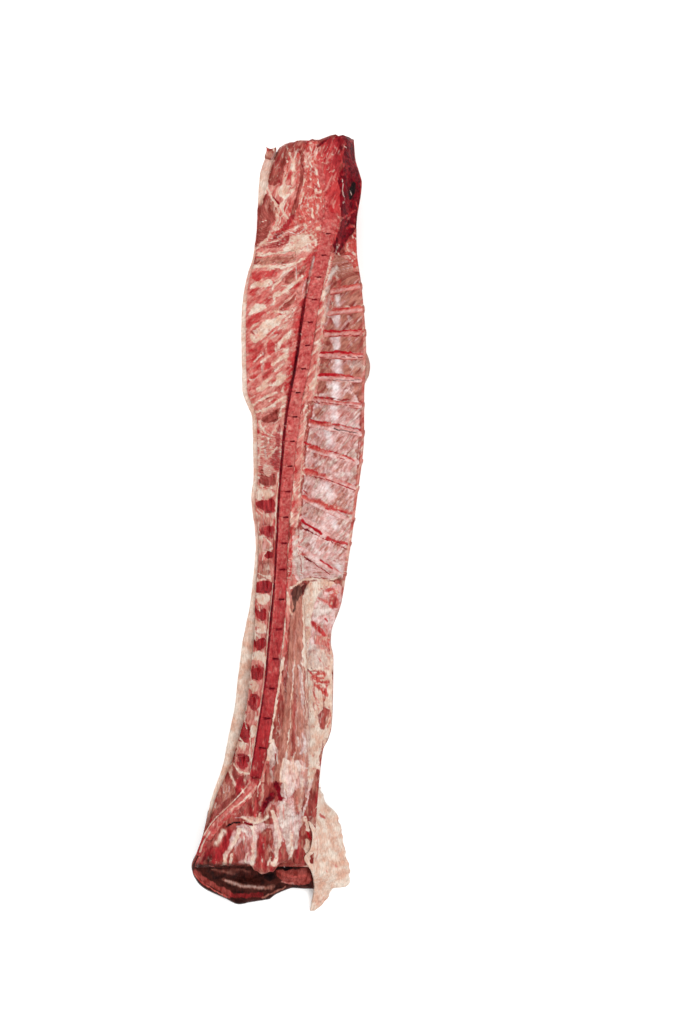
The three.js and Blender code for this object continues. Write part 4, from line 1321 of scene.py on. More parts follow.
# %% Tissue colours
# For each tissue: its darker and its lighter colour, the size of its mottling in millimetres, the
# roughness of its surface and how much of a wet film lies on it.
LOOKS = {
    "muscle": ("#7b241d", "#b0524a", 3.0, 0.4, 0.03),
    "fat": ("#d9a891", "#eddbcb", 7.0, 0.42, 0.05),
    "marbled": ("#bb544c", "#e0998c", 3.0, 0.4, 0.05),
    "coral": ("#b02c28", "#d6685c", 2.4, 0.38, 0.05),
    "red": ("#a81a20", "#cc4644", 3.0, 0.34, 0.04),
    "garnet": ("#7e1018", "#b02a2f", 3.0, 0.34, 0.02),
    "blood": ("#48000e", "#8a0518", 4.0, 0.28, 0.0),
    # Pale membrane; a few of its strokes are painted glints and highlights: in the neck, on the tenderloin
    # and in the rump's hollow.
    "membrane": ("#b88f84", "#e9d6cc", 5.0, 0.24, 0.15),
    # Brown muscle between the ribs; its soft glows across the rump's hollow and lip are painted highlights.
    "tan": ("#9a5244", "#c88775", 2.4, 0.36, 0.06),
    # The pale lining of the chest; its rounded blobs between the ribs are painted highlights on the wet wall.
    "pleura": ("#d2928a", "#f1d4cf", 5.0, 0.24, 0.2),
    "marrow": ("#ab3231", "#d1645f", 2.4, 0.45, 0.03),
    # Near black: real clotted blood in the neck, and painted shade in the holes of the sawn rump.
    "clot": ("#080203", "#200a0c", 4.0, 0.3, 0.02),
    # Dark brown: the rump's own dark meat, with painted shade where it lies in the hollow under the overhang.
    "umber": ("#220907", "#4e2019", 4.0, 0.34, 0.0),
    "scarlet": ("#9c0412", "#c8202c", 3.0, 0.3, 0.05),
    # Painted highlight: the shine of wet membrane and flesh, drawn as a pale colour.
    "sheen": ("#dcb8b6", "#fbf1f1", 5.0, 0.2, 0.4),
}
FIBROUS = ("muscle", "marbled", "coral", "red", "garnet", "tan")
EXPOSURE = 0.545  # the studio light lifts every colour, so that the white table stays white


def exposed(colour):
    """A hex colour as seen without the studio light's lift."""
    return tuple(c * EXPOSURE for c in linear(colour)[:3]) + (1.0,)


FRAY = 0.5  # how far the speckle shifts the border between two tissues
SPECKLE, SHADE, FINE, COARSE = 1.3, 0.9, 1.0, 3.6  # the sizes of the other noises, in millimetres


def flesh_material(name, relief=1.0):
    """Mixes the tissues by the weights on the mesh, and lays a wet film over them."""
    material, tree, shader = new_material(name)
    place = add(tree, "ShaderNodeTexCoord").outputs["Object"]
    carried = {
        key: add(tree, "ShaderNodeAttribute", attribute_type="GEOMETRY", attribute_name=key)
        for key in ("grain", "rough", "wet", *TISSUES[1:])
    }
    fibres = carried["grain"].outputs["Vector"]
    wanted = {
        "speckle": (fibres, SPECKLE, 4.0), "shade": (fibres, SHADE, 2.0),
        "fine": (fibres, FINE, 3.0), "coarse": (place, COARSE, 3.0),
    }
    for tissue, (_, _, size, _, _) in LOOKS.items():
        wanted[size, tissue in FIBROUS] = (fibres if tissue in FIBROUS else place, size, 4.0)
    noises = {}
    for key, (vector, size, detail) in wanted.items():
        sizes = {"Scale": 1000 / (2 * size), "Detail": detail, "Roughness": 0.65}
        noises[key] = add(tree, "ShaderNodeTexNoise", {"Vector": vector, **sizes}).outputs[0]
    drift = add(tree, "ShaderNodeMath", {0: noises["speckle"], 1: 0.5}, operation="SUBTRACT").outputs[0]
    drift = add(tree, "ShaderNodeMath", {0: drift, 1: FRAY}, operation="MULTIPLY").outputs[0]
    soft = {"interpolation_type": "SMOOTHSTEP"}
    for tissue, (dark, light, size, _, _) in LOOKS.items():
        mottle = {"Value": noises[size, tissue in FIBROUS], "From Min": 0.32, "From Max": 0.68}
        tone = add(tree, "ShaderNodeMapRange", mottle, **soft).outputs[0]
        shades = {0: tone, 6: exposed(dark), 7: exposed(light)}
        own = add(tree, "ShaderNodeMix", shades, data_type="RGBA").outputs[2]
        if tissue == TISSUES[0]:
            colour = own
            continue
        share = carried[tissue].outputs["Fac"]
        frayed = add(tree, "ShaderNodeMath", {0: share, 1: drift}, operation="ADD").outputs[0]
        border = {"Value": frayed, "From Min": 0.12, "From Max": 0.88}
        edge = add(tree, "ShaderNodeMapRange", border, **soft).outputs[0]
        some = {0: share, 1: 8.0}
        there = add(tree, "ShaderNodeMath", some, operation="MULTIPLY", use_clamp=True).outputs[0]
        factor = add(tree, "ShaderNodeMath", {0: edge, 1: there}, operation="MULTIPLY").outputs[0]
        colour = add(tree, "ShaderNodeMix", {0: factor, 6: colour, 7: own}, data_type="RGBA").outputs[2]
    shading = {"Value": noises["shade"], "From Min": 0.3, "From Max": 0.7, "To Min": 0.8, "To Max": 1.16}
    shade = add(tree, "ShaderNodeMapRange", shading, **soft).outputs[0]
    speckled = add(tree, "ShaderNodeVectorMath", {0: colour, "Scale": shade}, operation="SCALE")
    fine = add(tree, "ShaderNodeMath", {0: noises["fine"], 1: 0.4}, operation="MULTIPLY").outputs[0]
    height = add(tree, "ShaderNodeMath", {0: fine, 1: noises["coarse"]}, operation="ADD").outputs[0]
    bump = add(tree, "ShaderNodeBump", {"Height": height, "Strength": 0.6, "Distance": 0.0026 * relief})
    for key, source in (
        ("Base Color", speckled.outputs[0]), ("Roughness", carried["rough"].outputs["Fac"]),
        ("Coat Weight", carried["wet"].outputs["Fac"]), ("Normal", bump.outputs[0]),
    ):
        tree.links.new(source, shader.inputs[key])
    shader.inputs["Coat Roughness"].default_value = 0.16
    shader.inputs["Specular IOR Level"].default_value = 0.03
    return material


MEAT = flesh_material("raw_pork_muscle")
FAT = flesh_material("pork_back_fat", relief=0.6)
TENDERLOIN = flesh_material("raw_pork_tenderloin")
BONE = flesh_material("sawn_red_bone", relief=0.8)
RIB = flesh_material("rib_under_membrane", relief=0.6)
print("materials:", [m.name for m in (MEAT, FAT, TENDERLOIN, BONE, RIB)])

# %% [markdown]
# ## From rings to a piece
# Most pieces are lofts: rings of points, one after another along the loin, closed at both ends by
# shrinking rings. The chart is read at each vertex from above. Where a surface turns away from the
# sky, the chart fades into the tissue that lies at that side.

# %% Piece helpers


def loft_faces(rings, columns):
    """Four-sided faces between closed rings of points."""
    i, j = np.meshgrid(np.arange(rings - 1), np.arange(columns), indexing="ij")
    a = i * columns + j
    b = i * columns + (j + 1) % columns
    return np.stack([a, a + columns, b + columns, b], -1).reshape(-1, 4)


def with_caps(rings, steps=6):
    """Adds shrinking rings at both ends of a loft, down to a point."""

    def shrink(ring):
        middle = ring.mean(0)
        sizes = [1 - k / steps for k in range(1, steps)] + [1e-3]
        return [middle + (ring - middle) * size for size in sizes]

    first, last = shrink(rings[0]), shrink(rings[-1])
    return np.concatenate([np.array(first[::-1]), rings, np.array(last)])


def build(name, points, faces, material, nodes, slot, **looks):
    """Makes the object, gives it its tissue weights and ties it to the solids that it replaces."""
    mesh = bpy.data.meshes.new(name)
    mesh.from_pydata(points.tolist(), [], faces.tolist())
    mesh.validate()
    return dress(name, mesh, material, nodes, slot, **looks)


def dress(
    name, mesh, material, nodes, slot, chart=None, ground="muscle", side="muscle", tint=None, flecks=1.0
):
    """Writes the tissue weights on a mesh, makes it an object and ties it to its solids."""
    count = len(mesh.vertices)
    points = np.empty(count * 3)
    mesh.vertices.foreach_get("co", points)
    points = points.reshape(-1, 3)
    up = np.empty(count * 3)
    mesh.vertex_normals.foreach_get("vector", up)
    up = up.reshape(-1, 3)[:, 2]
    weights, _ = read_chart(to_photo(points), CHART if chart is None else chart, ground)
    weights = cover(weights, side, 1 - smooth(0.05, 0.4, up))
    if tint is not None:
        weights = tint(points, weights)
    weights = marbled(points / MM, weights, flecks)
    for key, column in (("rough", 3), ("wet", 4)):
        value = weights @ np.array([LOOKS[tissue][column] for tissue in TISSUES]) / weights.sum(1)
        mesh.attributes.new(key, "FLOAT", "POINT").data.foreach_set("value", value.astype(np.float32))
    grains = mesh.attributes.new("grain", "FLOAT_VECTOR", "POINT").data
    grains.foreach_set("vector", (grain(points / MM) * MM).astype(np.float32).ravel())
    total = np.cumsum(weights, 1)
    for i, tissue in enumerate(TISSUES[1:], 1):
        share = np.where(total[:, i] > 1e-4, weights[:, i] / np.maximum(total[:, i], 1e-4), 0)
        mesh.attributes.new(tissue, "FLOAT", "POINT").data.foreach_set("value", share.astype(np.float32))
    mesh.materials.clear()
    mesh.materials.append(material)
    mesh.polygons.foreach_set("use_smooth", np.ones(len(mesh.polygons), bool))
    mesh.polygons.foreach_set("material_index", np.zeros(len(mesh.polygons), np.int32))
    piece = bpy.data.objects.new(name, mesh)
    bpy.context.collection.objects.link(piece)
    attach(piece, "root")
    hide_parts(*nodes)
    mesh.calc_loop_triangles()
    print(name, len(mesh.loop_triangles), "triangles")
    return piece


def lifted(points, amount):
    """Moves each point of a closed ring grid along its normal by an amount in metres."""
    along_ring = np.roll(points, -1, 1) - np.roll(points, 1, 1)
    down_loin = np.gradient(points, axis=0)
    normal = np.cross(down_loin, along_ring)
    normal /= np.maximum(np.linalg.norm(normal, axis=2, keepdims=True), 1e-12)
    return points + normal * amount[..., None]


# %% [markdown]
# ## The lean meat
# One closed loft runs the whole length. It has most of its points on top, about one each 1.4 mm,
# because that is where the chart has its detail. The chart's relief, the groove of the spinal canal,
# the soft pillows between the ribs and some noise shape the skin of it.

# %% Lean meat
ragged_end = rail(
    (-114, 951), (-111.4, 951.3), (-90.2, 951.3), (-76.1, 948.5), (-64.8, 949.9), (-57.8, 945.6),
    (-40.9, 947.1), (-33.8, 954.1), (-26.8, 959.8), (-12.7, 957), (-5.6, 951.3), (-1.4, 945.7),
    (15.6, 942.8), (18.4, 949.9), (26.8, 948.5), (38.1, 951.3), (45, 946),
)
LEAN_END = 951
TOP_COLUMNS, SIDE_COLUMNS, UNDER_COLUMNS, BACK_COLUMNS = 104, 8, 12, 4
LEAN_RINGS = 690
RIB_NUMBERS = range(2, 14)
RIB_SHIFTS = {10: 3.0, 12: 6.0, 13: 2.0}  # millimetres nearer the neck
RIB_GAP, RIB_DROP, UPPER_RIB_DROP = 10, 8, 8.7  # from the vertebra to the rib, and towards the rump
END_FADE = 60.0  # millimetres over which an end's own shape dies away


def end_to_end(s0, x, start, stop, first, last):
    """Shifts places along the loin so that they run from one cut to the other."""
    torn = noise(np.stack([x.ravel(), 0 * x.ravel()], 1), 5, 33).reshape(x.shape) * 1.4
    near = (start(x) + torn - first) * (1 - smooth(first, first + END_FADE, s0))
    far = (stop(x) + 1.5 * torn - last) * smooth(last - END_FADE, last, s0)
    return s0 + near + far


def rib_slope(index):
    """How far a rib runs towards the rump for each millimetre outwards."""
    return lerp(-0.15, 0.6, ((index - 2) / 11) ** 1.2)


def rib_start(index):
    """Where a rib leaves its vertebra."""
    drop = RIB_DROP + UPPER_RIB_DROP * float(1 - smooth(3, 7, index))
    return JOINTS[NECK_COUNT + index] + drop - RIB_SHIFTS.get(index, 0)


def rib_span(index):
    """Inner and outer end of a rib, across the loin, in millimetres."""
    start = rib_start(index)
    inner = float(spine(start) + spine_half(start)) + RIB_GAP
    return inner, float(rib_edge(start + rib_slope(index) * 70)) - 0.5


def pillows(s, x):
    """Swellings between the ribs and dips where the ribs lie, from 0 to 1."""
    inner = spine(s) + spine_half(s) + RIB_GAP
    inside = smooth(0, 12, x - inner) * (1 - smooth(-6, 2, x - rib_edge(s)))
    bump = np.zeros_like(s)
    for index in RIB_NUMBERS:
        middle = rib_start(index) + rib_slope(index) * (x - rib_span(index)[0])
        bump = np.maximum(bump, np.exp(-(((s - middle) / 7.0) ** 2)))
    span = smooth(150, 175, s) * (1 - smooth(560, 590, s))
    return inside * span * (1 - bump), inside * span * bump


def lean_relief(s, x, chart_relief):
    """Height of the meat over its smooth surface: seams, lumps, the bone's level, canal and pillows."""
    plan = np.stack([s.ravel(), x.ravel()], 1)
    h = chart_relief.reshape(s.shape).copy()
    h += cloudy(plan, 16, 31).reshape(s.shape) * 1.5 + cloudy(plan, 5, 41).reshape(s.shape) * 0.55
    bone = smooth(-7, 0, spine_half(s) - np.abs(x - spine(s))) * smooth(90, 120, s)
    h *= 1 - 0.85 * bone
    h -= 0.7 * smooth(0, 2.5, spine_half(s) - np.abs(x - spine(s))) * smooth(90, 120, s)
    on = smooth(145, 165, s) * (1 - smooth(815, 836, s))
    h -= CANAL_DEPTH * on * np.exp(-(((x - canal_line(s)) / 2.9) ** 2))
    swell, dip = pillows(s, x)
    return h + 1.8 * swell - 0.6 * dip


def make_lean():
    """The top, the rib side, the underside and the back side, one after another round each ring."""
    s0 = np.repeat(np.linspace(0, LEAN_END, LEAN_RINGS)[:, None], TOP_COLUMNS, 1)
    u = np.repeat(np.linspace(0, 1, TOP_COLUMNS)[None], LEAN_RINGS, 0)
    s = s0
    for _ in range(4):
        x = lerp(back_edge(s) + fat_strip(s) - 1.0, rib_edge(s), u)
        s = end_to_end(s0, x, neck_cut, ragged_end, 0, LEAN_END)
    top = to_frame(s, x, top_height(s, x))
    _, relief = read_chart(to_photo(top.reshape(-1, 3)), CHART, "muscle")
    rim = smooth(0, 0.04, u) * (1 - smooth(0.96, 1, u))
    ends = smooth(0, 5, s - neck_cut(x)) * smooth(0, 6, ragged_end(x) - s)
    h = lean_relief(s, x, relief) * rim - 5 * (1 - np.sqrt(ends))
    top[..., 2] += h * MM
    parts = [top]
    right_x, right_z = x[:, -1:], top[:, -1:, 2] / MM
    right_s, left_s = s[:, -1:], s[:, :1]
    t = np.linspace(1, 0, UNDER_COLUMNS)[None]
    under_s = lerp(left_s, right_s, t)
    ux, uz = underside(under_s, np.repeat(t, LEAN_RINGS, 0), 0.85, 0)
    lift = smooth(880, 945, under_s)
    uz = np.maximum(uz, lerp(uz, 30.0, lift))
    keep = np.minimum(uz, lerp(top[:, :1, 2], top[:, -1:, 2], t) / MM - 4)
    f = np.linspace(0, 1, SIDE_COLUMNS + 2)[None, 1:-1]
    bulge = np.sin(math.pi * f) * -1.5
    side_x, side_z = lerp(right_x, ux[:, :1], f) + bulge, lerp(right_z, keep[:, :1], f)
    parts.append(to_frame(right_s + 0 * f, side_x, side_z))
    parts.append(to_frame(under_s, ux, keep))
    left_x, left_z = x[:, :1], top[:, :1, 2] / MM
    f = np.linspace(0, 1, BACK_COLUMNS + 2)[None, 1:-1]
    parts.append(to_frame(left_s + 0 * f, lerp(ux[:, -1:], left_x, f), lerp(keep[:, -1:], left_z, f)))
    ring = np.concatenate(parts, 1)
    side = np.zeros(ring.shape[:2])
    n = TOP_COLUMNS
    plan = ring.reshape(-1, 3) / MM
    rough = (cloudy(plan, 12, 51) * 1.3 + cloudy(plan, 4, 55) * 0.5).reshape(side.shape)
    side[:, n : n + SIDE_COLUMNS] = rough[:, n : n + SIDE_COLUMNS]
    ring = lifted(ring, side * MM)
    ring = with_caps(ring, 10)
    return build(
        "lean_meat_piece", ring.reshape(-1, 3), loft_faces(*ring.shape[:2]), MEAT, ["lean_meat"], "meat",
        tint=lean_tint,
    )


def lean_tint(points, weights):
    """The rim of the chest wall is paler than the flesh under it."""
    s, x = MID_S - points[:, 1] / MM, points[:, 0] / MM + MID_X
    rim = smooth(-5, -2, x - rib_edge(s)) * smooth(0.03, 0.05, points[:, 2])
    rim = rim * smooth(170, 200, s) * (1 - smooth(590, 610, s))
    return cover(cover(weights, "marbled", 0.75 * rim), "tan", 0.35 * rim)


make_lean()

# %% [markdown]
# ## Back fat
# The skin side of the loin is covered by fat. From above it shows only as a cream strip along the
# back edge, as a swelling that bulges past the ribs and as a small tag at the neck.

# %% Back fat
FAT_RINGS = 400
FAT_OUTER, FAT_INNER = 70, 30
FAT_END = 975
SWELLING, SWELLING_RADII = (302.0, 102.0, 22.0), (29.0, 16.0, 13.0)  # along, across and up
SWELLING_LIFT = 20.5


def make_fat():
    """The outer side of the fat and its crest, closed by the inner side under the meat."""
    s0 = np.linspace(0, FAT_END, FAT_RINGS)[:, None]
    t = np.linspace(0, 1, FAT_OUTER)[None]
    s = s0 + 0 * t
    for _ in range(4):
        x, z = underside(s, t + 0 * s, 0, 0)
        s = end_to_end(s0 + 0 * t, x, neck_cut, lower_rump_cut, 0, FAT_END)
    outer = to_frame(s, x, z)
    first = s[:, :1]
    crest = to_frame(first, back_edge(first) + 0.4 * fat_strip(first), back_height(first) + 1.5)
    inner_t = np.linspace(1, 0, FAT_INNER)[None]
    inner_s = lerp(s[:, :1], s[:, -1:], inner_t)
    ix, iz = underside(inner_s, inner_t + 0 * inner_s, 1, 0)
    inner = to_frame(inner_s, ix, iz)
    ring = np.concatenate([crest, outer, inner], 1)[:, ::-1]
    plan = ring.reshape(-1, 3) / MM
    h = (cloudy(plan, 22, 61) * 1.2 + cloudy(plan, 6, 65) * 0.45).reshape(ring.shape[:2])
    loin = np.stack([MID_S - plan[:, 1], plan[:, 0] + MID_X, plan[:, 2]], 1)
    swell = np.exp(-(((loin - SWELLING) / SWELLING_RADII) ** 2).sum(1))
    h += swell.reshape(h.shape) * SWELLING_LIFT
    h[:, :FAT_INNER] = 0
    ring = lifted(ring, h * MM)
    ring[..., 2] = np.maximum(ring[..., 2], 0) * (1 - 0.55 * smooth(925, 955, MID_S - ring[..., 1] / MM))
    ring = with_caps(ring, 5)
    return build(
        "back_fat_piece", ring.reshape(-1, 3), loft_faces(*ring.shape[:2]), FAT, ["back_fat"], "fat",
        chart=[], ground="fat", side="fat", tint=fat_tint, flecks=0.2,
    )


def fat_tint(points, weights):
    """The fat is pinker in places, and gives way to meat behind the neck and at the rump."""
    mm = points / MM
    s = MID_S - mm[:, 1]
    pink = smooth(-0.1, 0.7, cloudy(mm * (1, 0.3, 1), 14, 71)) * 0.25
    pink = pink + (1 - smooth(600, 660, s)) * 0.26
    meat = 0.85 * smooth(80, 96, s) * (1 - smooth(138, 152, s)) + 0.8 * smooth(850, 910, s)
    side = 0.75 * np.exp(-(((s - SWELLING[0]) / 30) ** 2)) * smooth(60, 90, mm[:, 0])
    tanned = side + 0.2 * (1 - smooth(60, 90, s))
    return cover(cover(cover(weights, "marbled", pink), "muscle", meat), "tan", tanned)


make_fat()

# %% [markdown]
# ## The sawn backbone
# The saw left a row of half vertebrae: 25 sawn bodies and the sacrum. They repeat along a line, so a
# Geometry Nodes tree places one rounded block at each point of that line, turned and stretched by
# the values the point carries. The squares of the sawn spinous processes come from the same tree.

# %% Block row tree


def new_tree(name, **defaults):
    """A modifier's tree with a named input for each default and one for the material."""
    tree = bpy.data.node_groups.new(name, "GeometryNodeTree")
    tree.is_modifier = True
    face = tree.interface
    face.new_socket("Geometry", in_out="INPUT", socket_type="NodeSocketGeometry")
    for key, value in defaults.items():
        kind = "NodeSocketInt" if isinstance(value, int) else "NodeSocketFloat"
        face.new_socket(key, in_out="INPUT", socket_type=kind).default_value = value
    face.new_socket("Material", in_out="INPUT", socket_type="NodeSocketMaterial")
    face.new_socket("Geometry", in_out="OUTPUT", socket_type="NodeSocketGeometry")
    return tree, add(tree, "NodeGroupInput").outputs


def finish_tree(tree, shape, given):
    """Ends a tree: the real faces that it made get the given material."""
    painted = add(tree, "GeometryNodeSetMaterial", {"Geometry": shape, "Material": given["Material"]})
    add(tree, "NodeGroupOutput", {"Geometry": painted.outputs[0]})
    return tree


def block_tree():
    """One softened block on each point, turned by 'turn' and stretched by 'size', then roughened."""
    tree, given = new_tree("block_row", Softness=0.8, Roughness=0.0006)
    cells = {"Size": (1, 1, 1), "Vertices X": 3, "Vertices Y": 4, "Vertices Z": 3}
    cube = add(tree, "GeometryNodeMeshCube", cells)
    crease = {"Mesh": cube.outputs[0], "Edge Crease": given["Softness"], "Level": 3}
    soft = add(tree, "GeometryNodeSubdivisionSurface", crease)
    turn, size = (
        add(tree, "GeometryNodeInputNamedAttribute", {"Name": key}, data_type="FLOAT_VECTOR").outputs[0]
        for key in ("turn", "size")
    )
    rotation = add(tree, "FunctionNodeEulerToRotation", {0: turn}).outputs[0]
    row = {"Points": given["Geometry"], "Instance": soft.outputs[0], "Rotation": rotation, "Scale": size}
    placed = add(tree, "GeometryNodeInstanceOnPoints", row)
    real = add(tree, "GeometryNodeRealizeInstances", {0: placed.outputs[0]})
    lumps = add(tree, "ShaderNodeTexNoise", {"Scale": 260.0, "Detail": 2.0}, noise_dimensions="3D")
    centre_out = {0: lumps.outputs["Color"], 1: (0.5, 0.5, 0.5)}
    centred = add(tree, "ShaderNodeVectorMath", centre_out, operation="SUBTRACT")
    size_of = {0: centred.outputs[0], "Scale": given["Roughness"]}
    scaled = add(tree, "ShaderNodeVectorMath", size_of, operation="SCALE")
    moved = add(tree, "GeometryNodeSetPosition", {"Geometry": real.outputs[0], "Offset": scaled.outputs[0]})
    return finish_tree(tree, moved.outputs[0], given)


BLOCKS = block_tree()


def socket_id(tree, name):
    """The identifier of a tree's input, which a modifier needs."""
    return next(i.identifier for i in tree.interface.items_tree if i.name == name and i.in_out == "INPUT")


def grown(name, mesh, tree, **inputs):
    """Runs a tree on a mesh and hands back the plain mesh that it made."""
    holder = bpy.data.objects.new(name + "_holder", mesh)
    bpy.context.collection.objects.link(holder)
    modifier = holder.modifiers.new("nodes", "NODES")
    modifier.node_group = tree
    for key, value in inputs.items():
        modifier[socket_id(tree, key)] = value
    bpy.context.view_layer.update()
    made = bpy.data.meshes.new_from_object(holder.evaluated_get(bpy.context.evaluated_depsgraph_get()))
    made.name = name
    bpy.data.objects.remove(holder)
    return made


def block_row(name, places, turns, sizes, nodes, slot, **inputs):
    """A row of sawn bones, with the middle, the turn and the size of each."""
    mesh = bpy.data.meshes.new(name + "_points")
    mesh.from_pydata(places, [], [])
    for key, values in (("turn", turns), ("size", sizes)):
        mesh.attributes.new(key, "FLOAT_VECTOR", "POINT").data.foreach_set("vector", np.ravel(values))
    made = grown(name, mesh, BLOCKS, Material=BONE, **inputs)
    return dress(name, made, BONE, nodes, slot, ground="marrow", side="marrow", tint=bone_tint, flecks=0.6)


def bone_tint(points, weights):
    """Spongy bone along the sawn faces, with a dark slot where two vertebrae meet."""
    s, x = MID_S - points[:, 1] / MM, points[:, 0] / MM + MID_X
    row = smooth(-1.5, 0.5, spine_half(s) - np.abs(x - spine(s))) * smooth(80, 130, s)
    row = row * (1 - 0.75 * smooth(834, 850, s))
    loin = smooth(380, 640, s) + 0.5 * smooth(720, 790, s) * (1 - smooth(826, 846, s))
    speck = np.clip(cloudy(points / MM, 3.2, 83) * 1.4, -1, 1)
    mix = np.zeros_like(weights)
    for tissue, share in (
        ("marrow", 0.85 - 0.45 * loin),
        ("garnet", 0.06 + 0.5 * loin),
        ("marbled", 0.36 * np.clip(0.5 + speck, 0, 1) * np.clip(1 - 0.7 * loin, 0, 1)),
    ):
        mix[:, TISSUES.index(tissue)] = share
    mix /= mix.sum(1, keepdims=True)
    weights = weights * (1 - 0.85 * row[:, None]) + mix * 0.85 * row[:, None]
    gap = np.min([np.abs(s - j) for j in JOINTS], 0)
    across = np.abs(x - spine(s) + 0.5)
    slot = (1 - smooth(0.7, 1.5 + 0.5 * loin, gap)) * (1 - smooth(2.4, 4.0 + 1.2 * loin, across)) * row
    return cover(weights, "blood", slot)


# %% Vertebrae
VERTEBRA_DEPTH = 17.0
SACRUM_START, SACRUM_END, SACRUM_DEPTH = 836.4, 936.0, 11.0
SACRUM_BLOCKS = 4


def make_vertebrae():
    """One block for each span between two joints, and a few for the sacrum, along the ridge."""
    places, turns, sizes = [], [], []
    spans = [(a, b, VERTEBRA_DEPTH) for a, b in zip(JOINTS, JOINTS[1:])]
    cuts = np.linspace(SACRUM_START, SACRUM_END, SACRUM_BLOCKS + 1)
    spans += [(a, b + 2.0, SACRUM_DEPTH) for a, b in zip(cuts, cuts[1:])]
    for a, b, depth in spans:
        middle, half = (a + b) / 2, (b - a) / 2
        x, width = float(spine(middle)), 2 * float(spine_half(middle))
        run = float(spine(middle + half) - spine(middle - half)) / (2 * half)
        rise = float(ridge_height(middle + half) - ridge_height(middle - half)) / (2 * half)
        top = float(top_height(middle, x))
        sunk = 1.6 * float(1 - smooth(80, 120, middle))
        places.append(to_frame(middle, x, top + 0.1 - sunk - depth / 2).tolist())
        turns.append((-math.atan(rise), -math.atan(SAW_TILT / width), math.atan(run)))
        sizes.append((width * MM, (2 * half + 0.2) * math.hypot(1, run) * MM, depth * MM))
    nodes = ["vertebra_%02d" % (i + 1) for i in range(len(PITCHES))] + ["sacrum"]
    looks = {"Softness": 0.82, "Roughness": 0.0009}
    return block_row("vertebrae_piece", places, turns, sizes, nodes, "bone", **looks)


make_vertebrae()

# %% Spinous processes
# For each: its middle along and across the loin, its length, its width and how much it leans.
PROCESSES = [
    (160, -6, 58, 12, 0.15), (185, 13, 25, 11, 0.75), (216, 13, 32, 11, 0.85), (338, -9, 28, 11, 0.55),
    (366, -14, 27, 12, 0.35),
]
FIRST_SQUARE, SQUARE, SQUARE_LEAN = 14, 17, 0.1  # the rest are squares beside the vertebrae
PROCESS_DEPTH = 7
for start, stop in zip(JOINTS[FIRST_SQUARE:], JOINTS[FIRST_SQUARE + 1 :]):
    s = lerp(start, stop, 0.52)
    right = float(spine(s) - spine_half(s)) - 7.3
    left = max(right - SQUARE, float(back_edge(s) + fat_strip(s)) + 3)
    PROCESSES.append((s, (left + right) / 2, right - left, SQUARE, SQUARE_LEAN))


def make_processes():
    """Flat blocks that lie in the meat, level with it at both of their ends."""
    places, turns, sizes = [], [], []
    for s, x, length, width, lean in PROCESSES:
        ends = [float(top_height(s - lean * d, x + d)) for d in (-length / 2, length / 2)]
        top = (sum(ends) / 2 + float(top_height(s, x))) / 2 + 0.4
        places.append(to_frame(s, x, top - PROCESS_DEPTH / 2).tolist())
        turns.append((0, -math.atan((ends[1] - ends[0]) / length), math.atan(lean)))
        sizes.append((length * MM, width * 0.94 * MM, PROCESS_DEPTH * MM))
    nodes = ["spinous_process_%02d" % (i + 1) for i in range(len(PROCESSES))]
    looks = {"Softness": 0.55, "Roughness": 0.0012}
    return block_row("spinous_processes_piece", places, turns, sizes, nodes, "bone", **looks)


make_processes()

# %% [markdown]
# ## Ribs
# Each rib follows a curved path across the chest wall, under a thin membrane. A tree turns the paths
# into curves and sweeps a flat oval along them. The oval carries a value around it, from the edge
# that faces the neck to the edge that faces the rump, and it is used to draw the red line along one
# edge and the dark one along the other.

# %% Rib tree


def sweep_tree():
    """Sweeps a flat oval along each path, as thick as the path's 'girth', and marks 'across' on it."""
    tree, given = new_tree("sweep", Sides=20, Flatness=0.8)
    path = add(tree, "GeometryNodeMeshToCurve", {0: given["Geometry"]})
    upright = add(tree, "GeometryNodeSetCurveNormal", {"Curve": path.outputs[0]}, mode="Z_UP")
    circle = add(tree, "GeometryNodeCurvePrimitiveCircle", {"Resolution": given["Sides"], "Radius": 1.0})
    flat = add(tree, "ShaderNodeCombineXYZ", {"X": 1.0, "Y": given["Flatness"], "Z": 1.0})
    oval = add(tree, "GeometryNodeTransform", {"Geometry": circle.outputs[0], "Scale": flat.outputs[0]})
    where = add(tree, "GeometryNodeInputPosition")
    split = add(tree, "ShaderNodeSeparateXYZ", {0: where.outputs[0]})
    mark = {"Geometry": oval.outputs[0], "Value": split.outputs["X"], "Name": "across"}
    marked = add(tree, "GeometryNodeStoreNamedAttribute", mark, data_type="FLOAT", domain="POINT")
    girth = add(tree, "GeometryNodeInputNamedAttribute", {"Name": "girth"}, data_type="FLOAT").outputs[0]
    lines = {"Curve": upright.outputs[0], "Profile Curve": marked.outputs[0]}
    swept = add(tree, "GeometryNodeCurveToMesh", {**lines, "Scale": girth, "Fill Caps": True})
    real = add(tree, "GeometryNodeRealizeInstances", {0: swept.outputs[0]})
    return finish_tree(tree, real.outputs[0], given)


SWEEP = sweep_tree()

# %% Ribs
RIB_WIDTH, RIB_THICKNESS, RIB_CROWN = 12.0, 6.0, 1.2
RIB_POINTS = 40


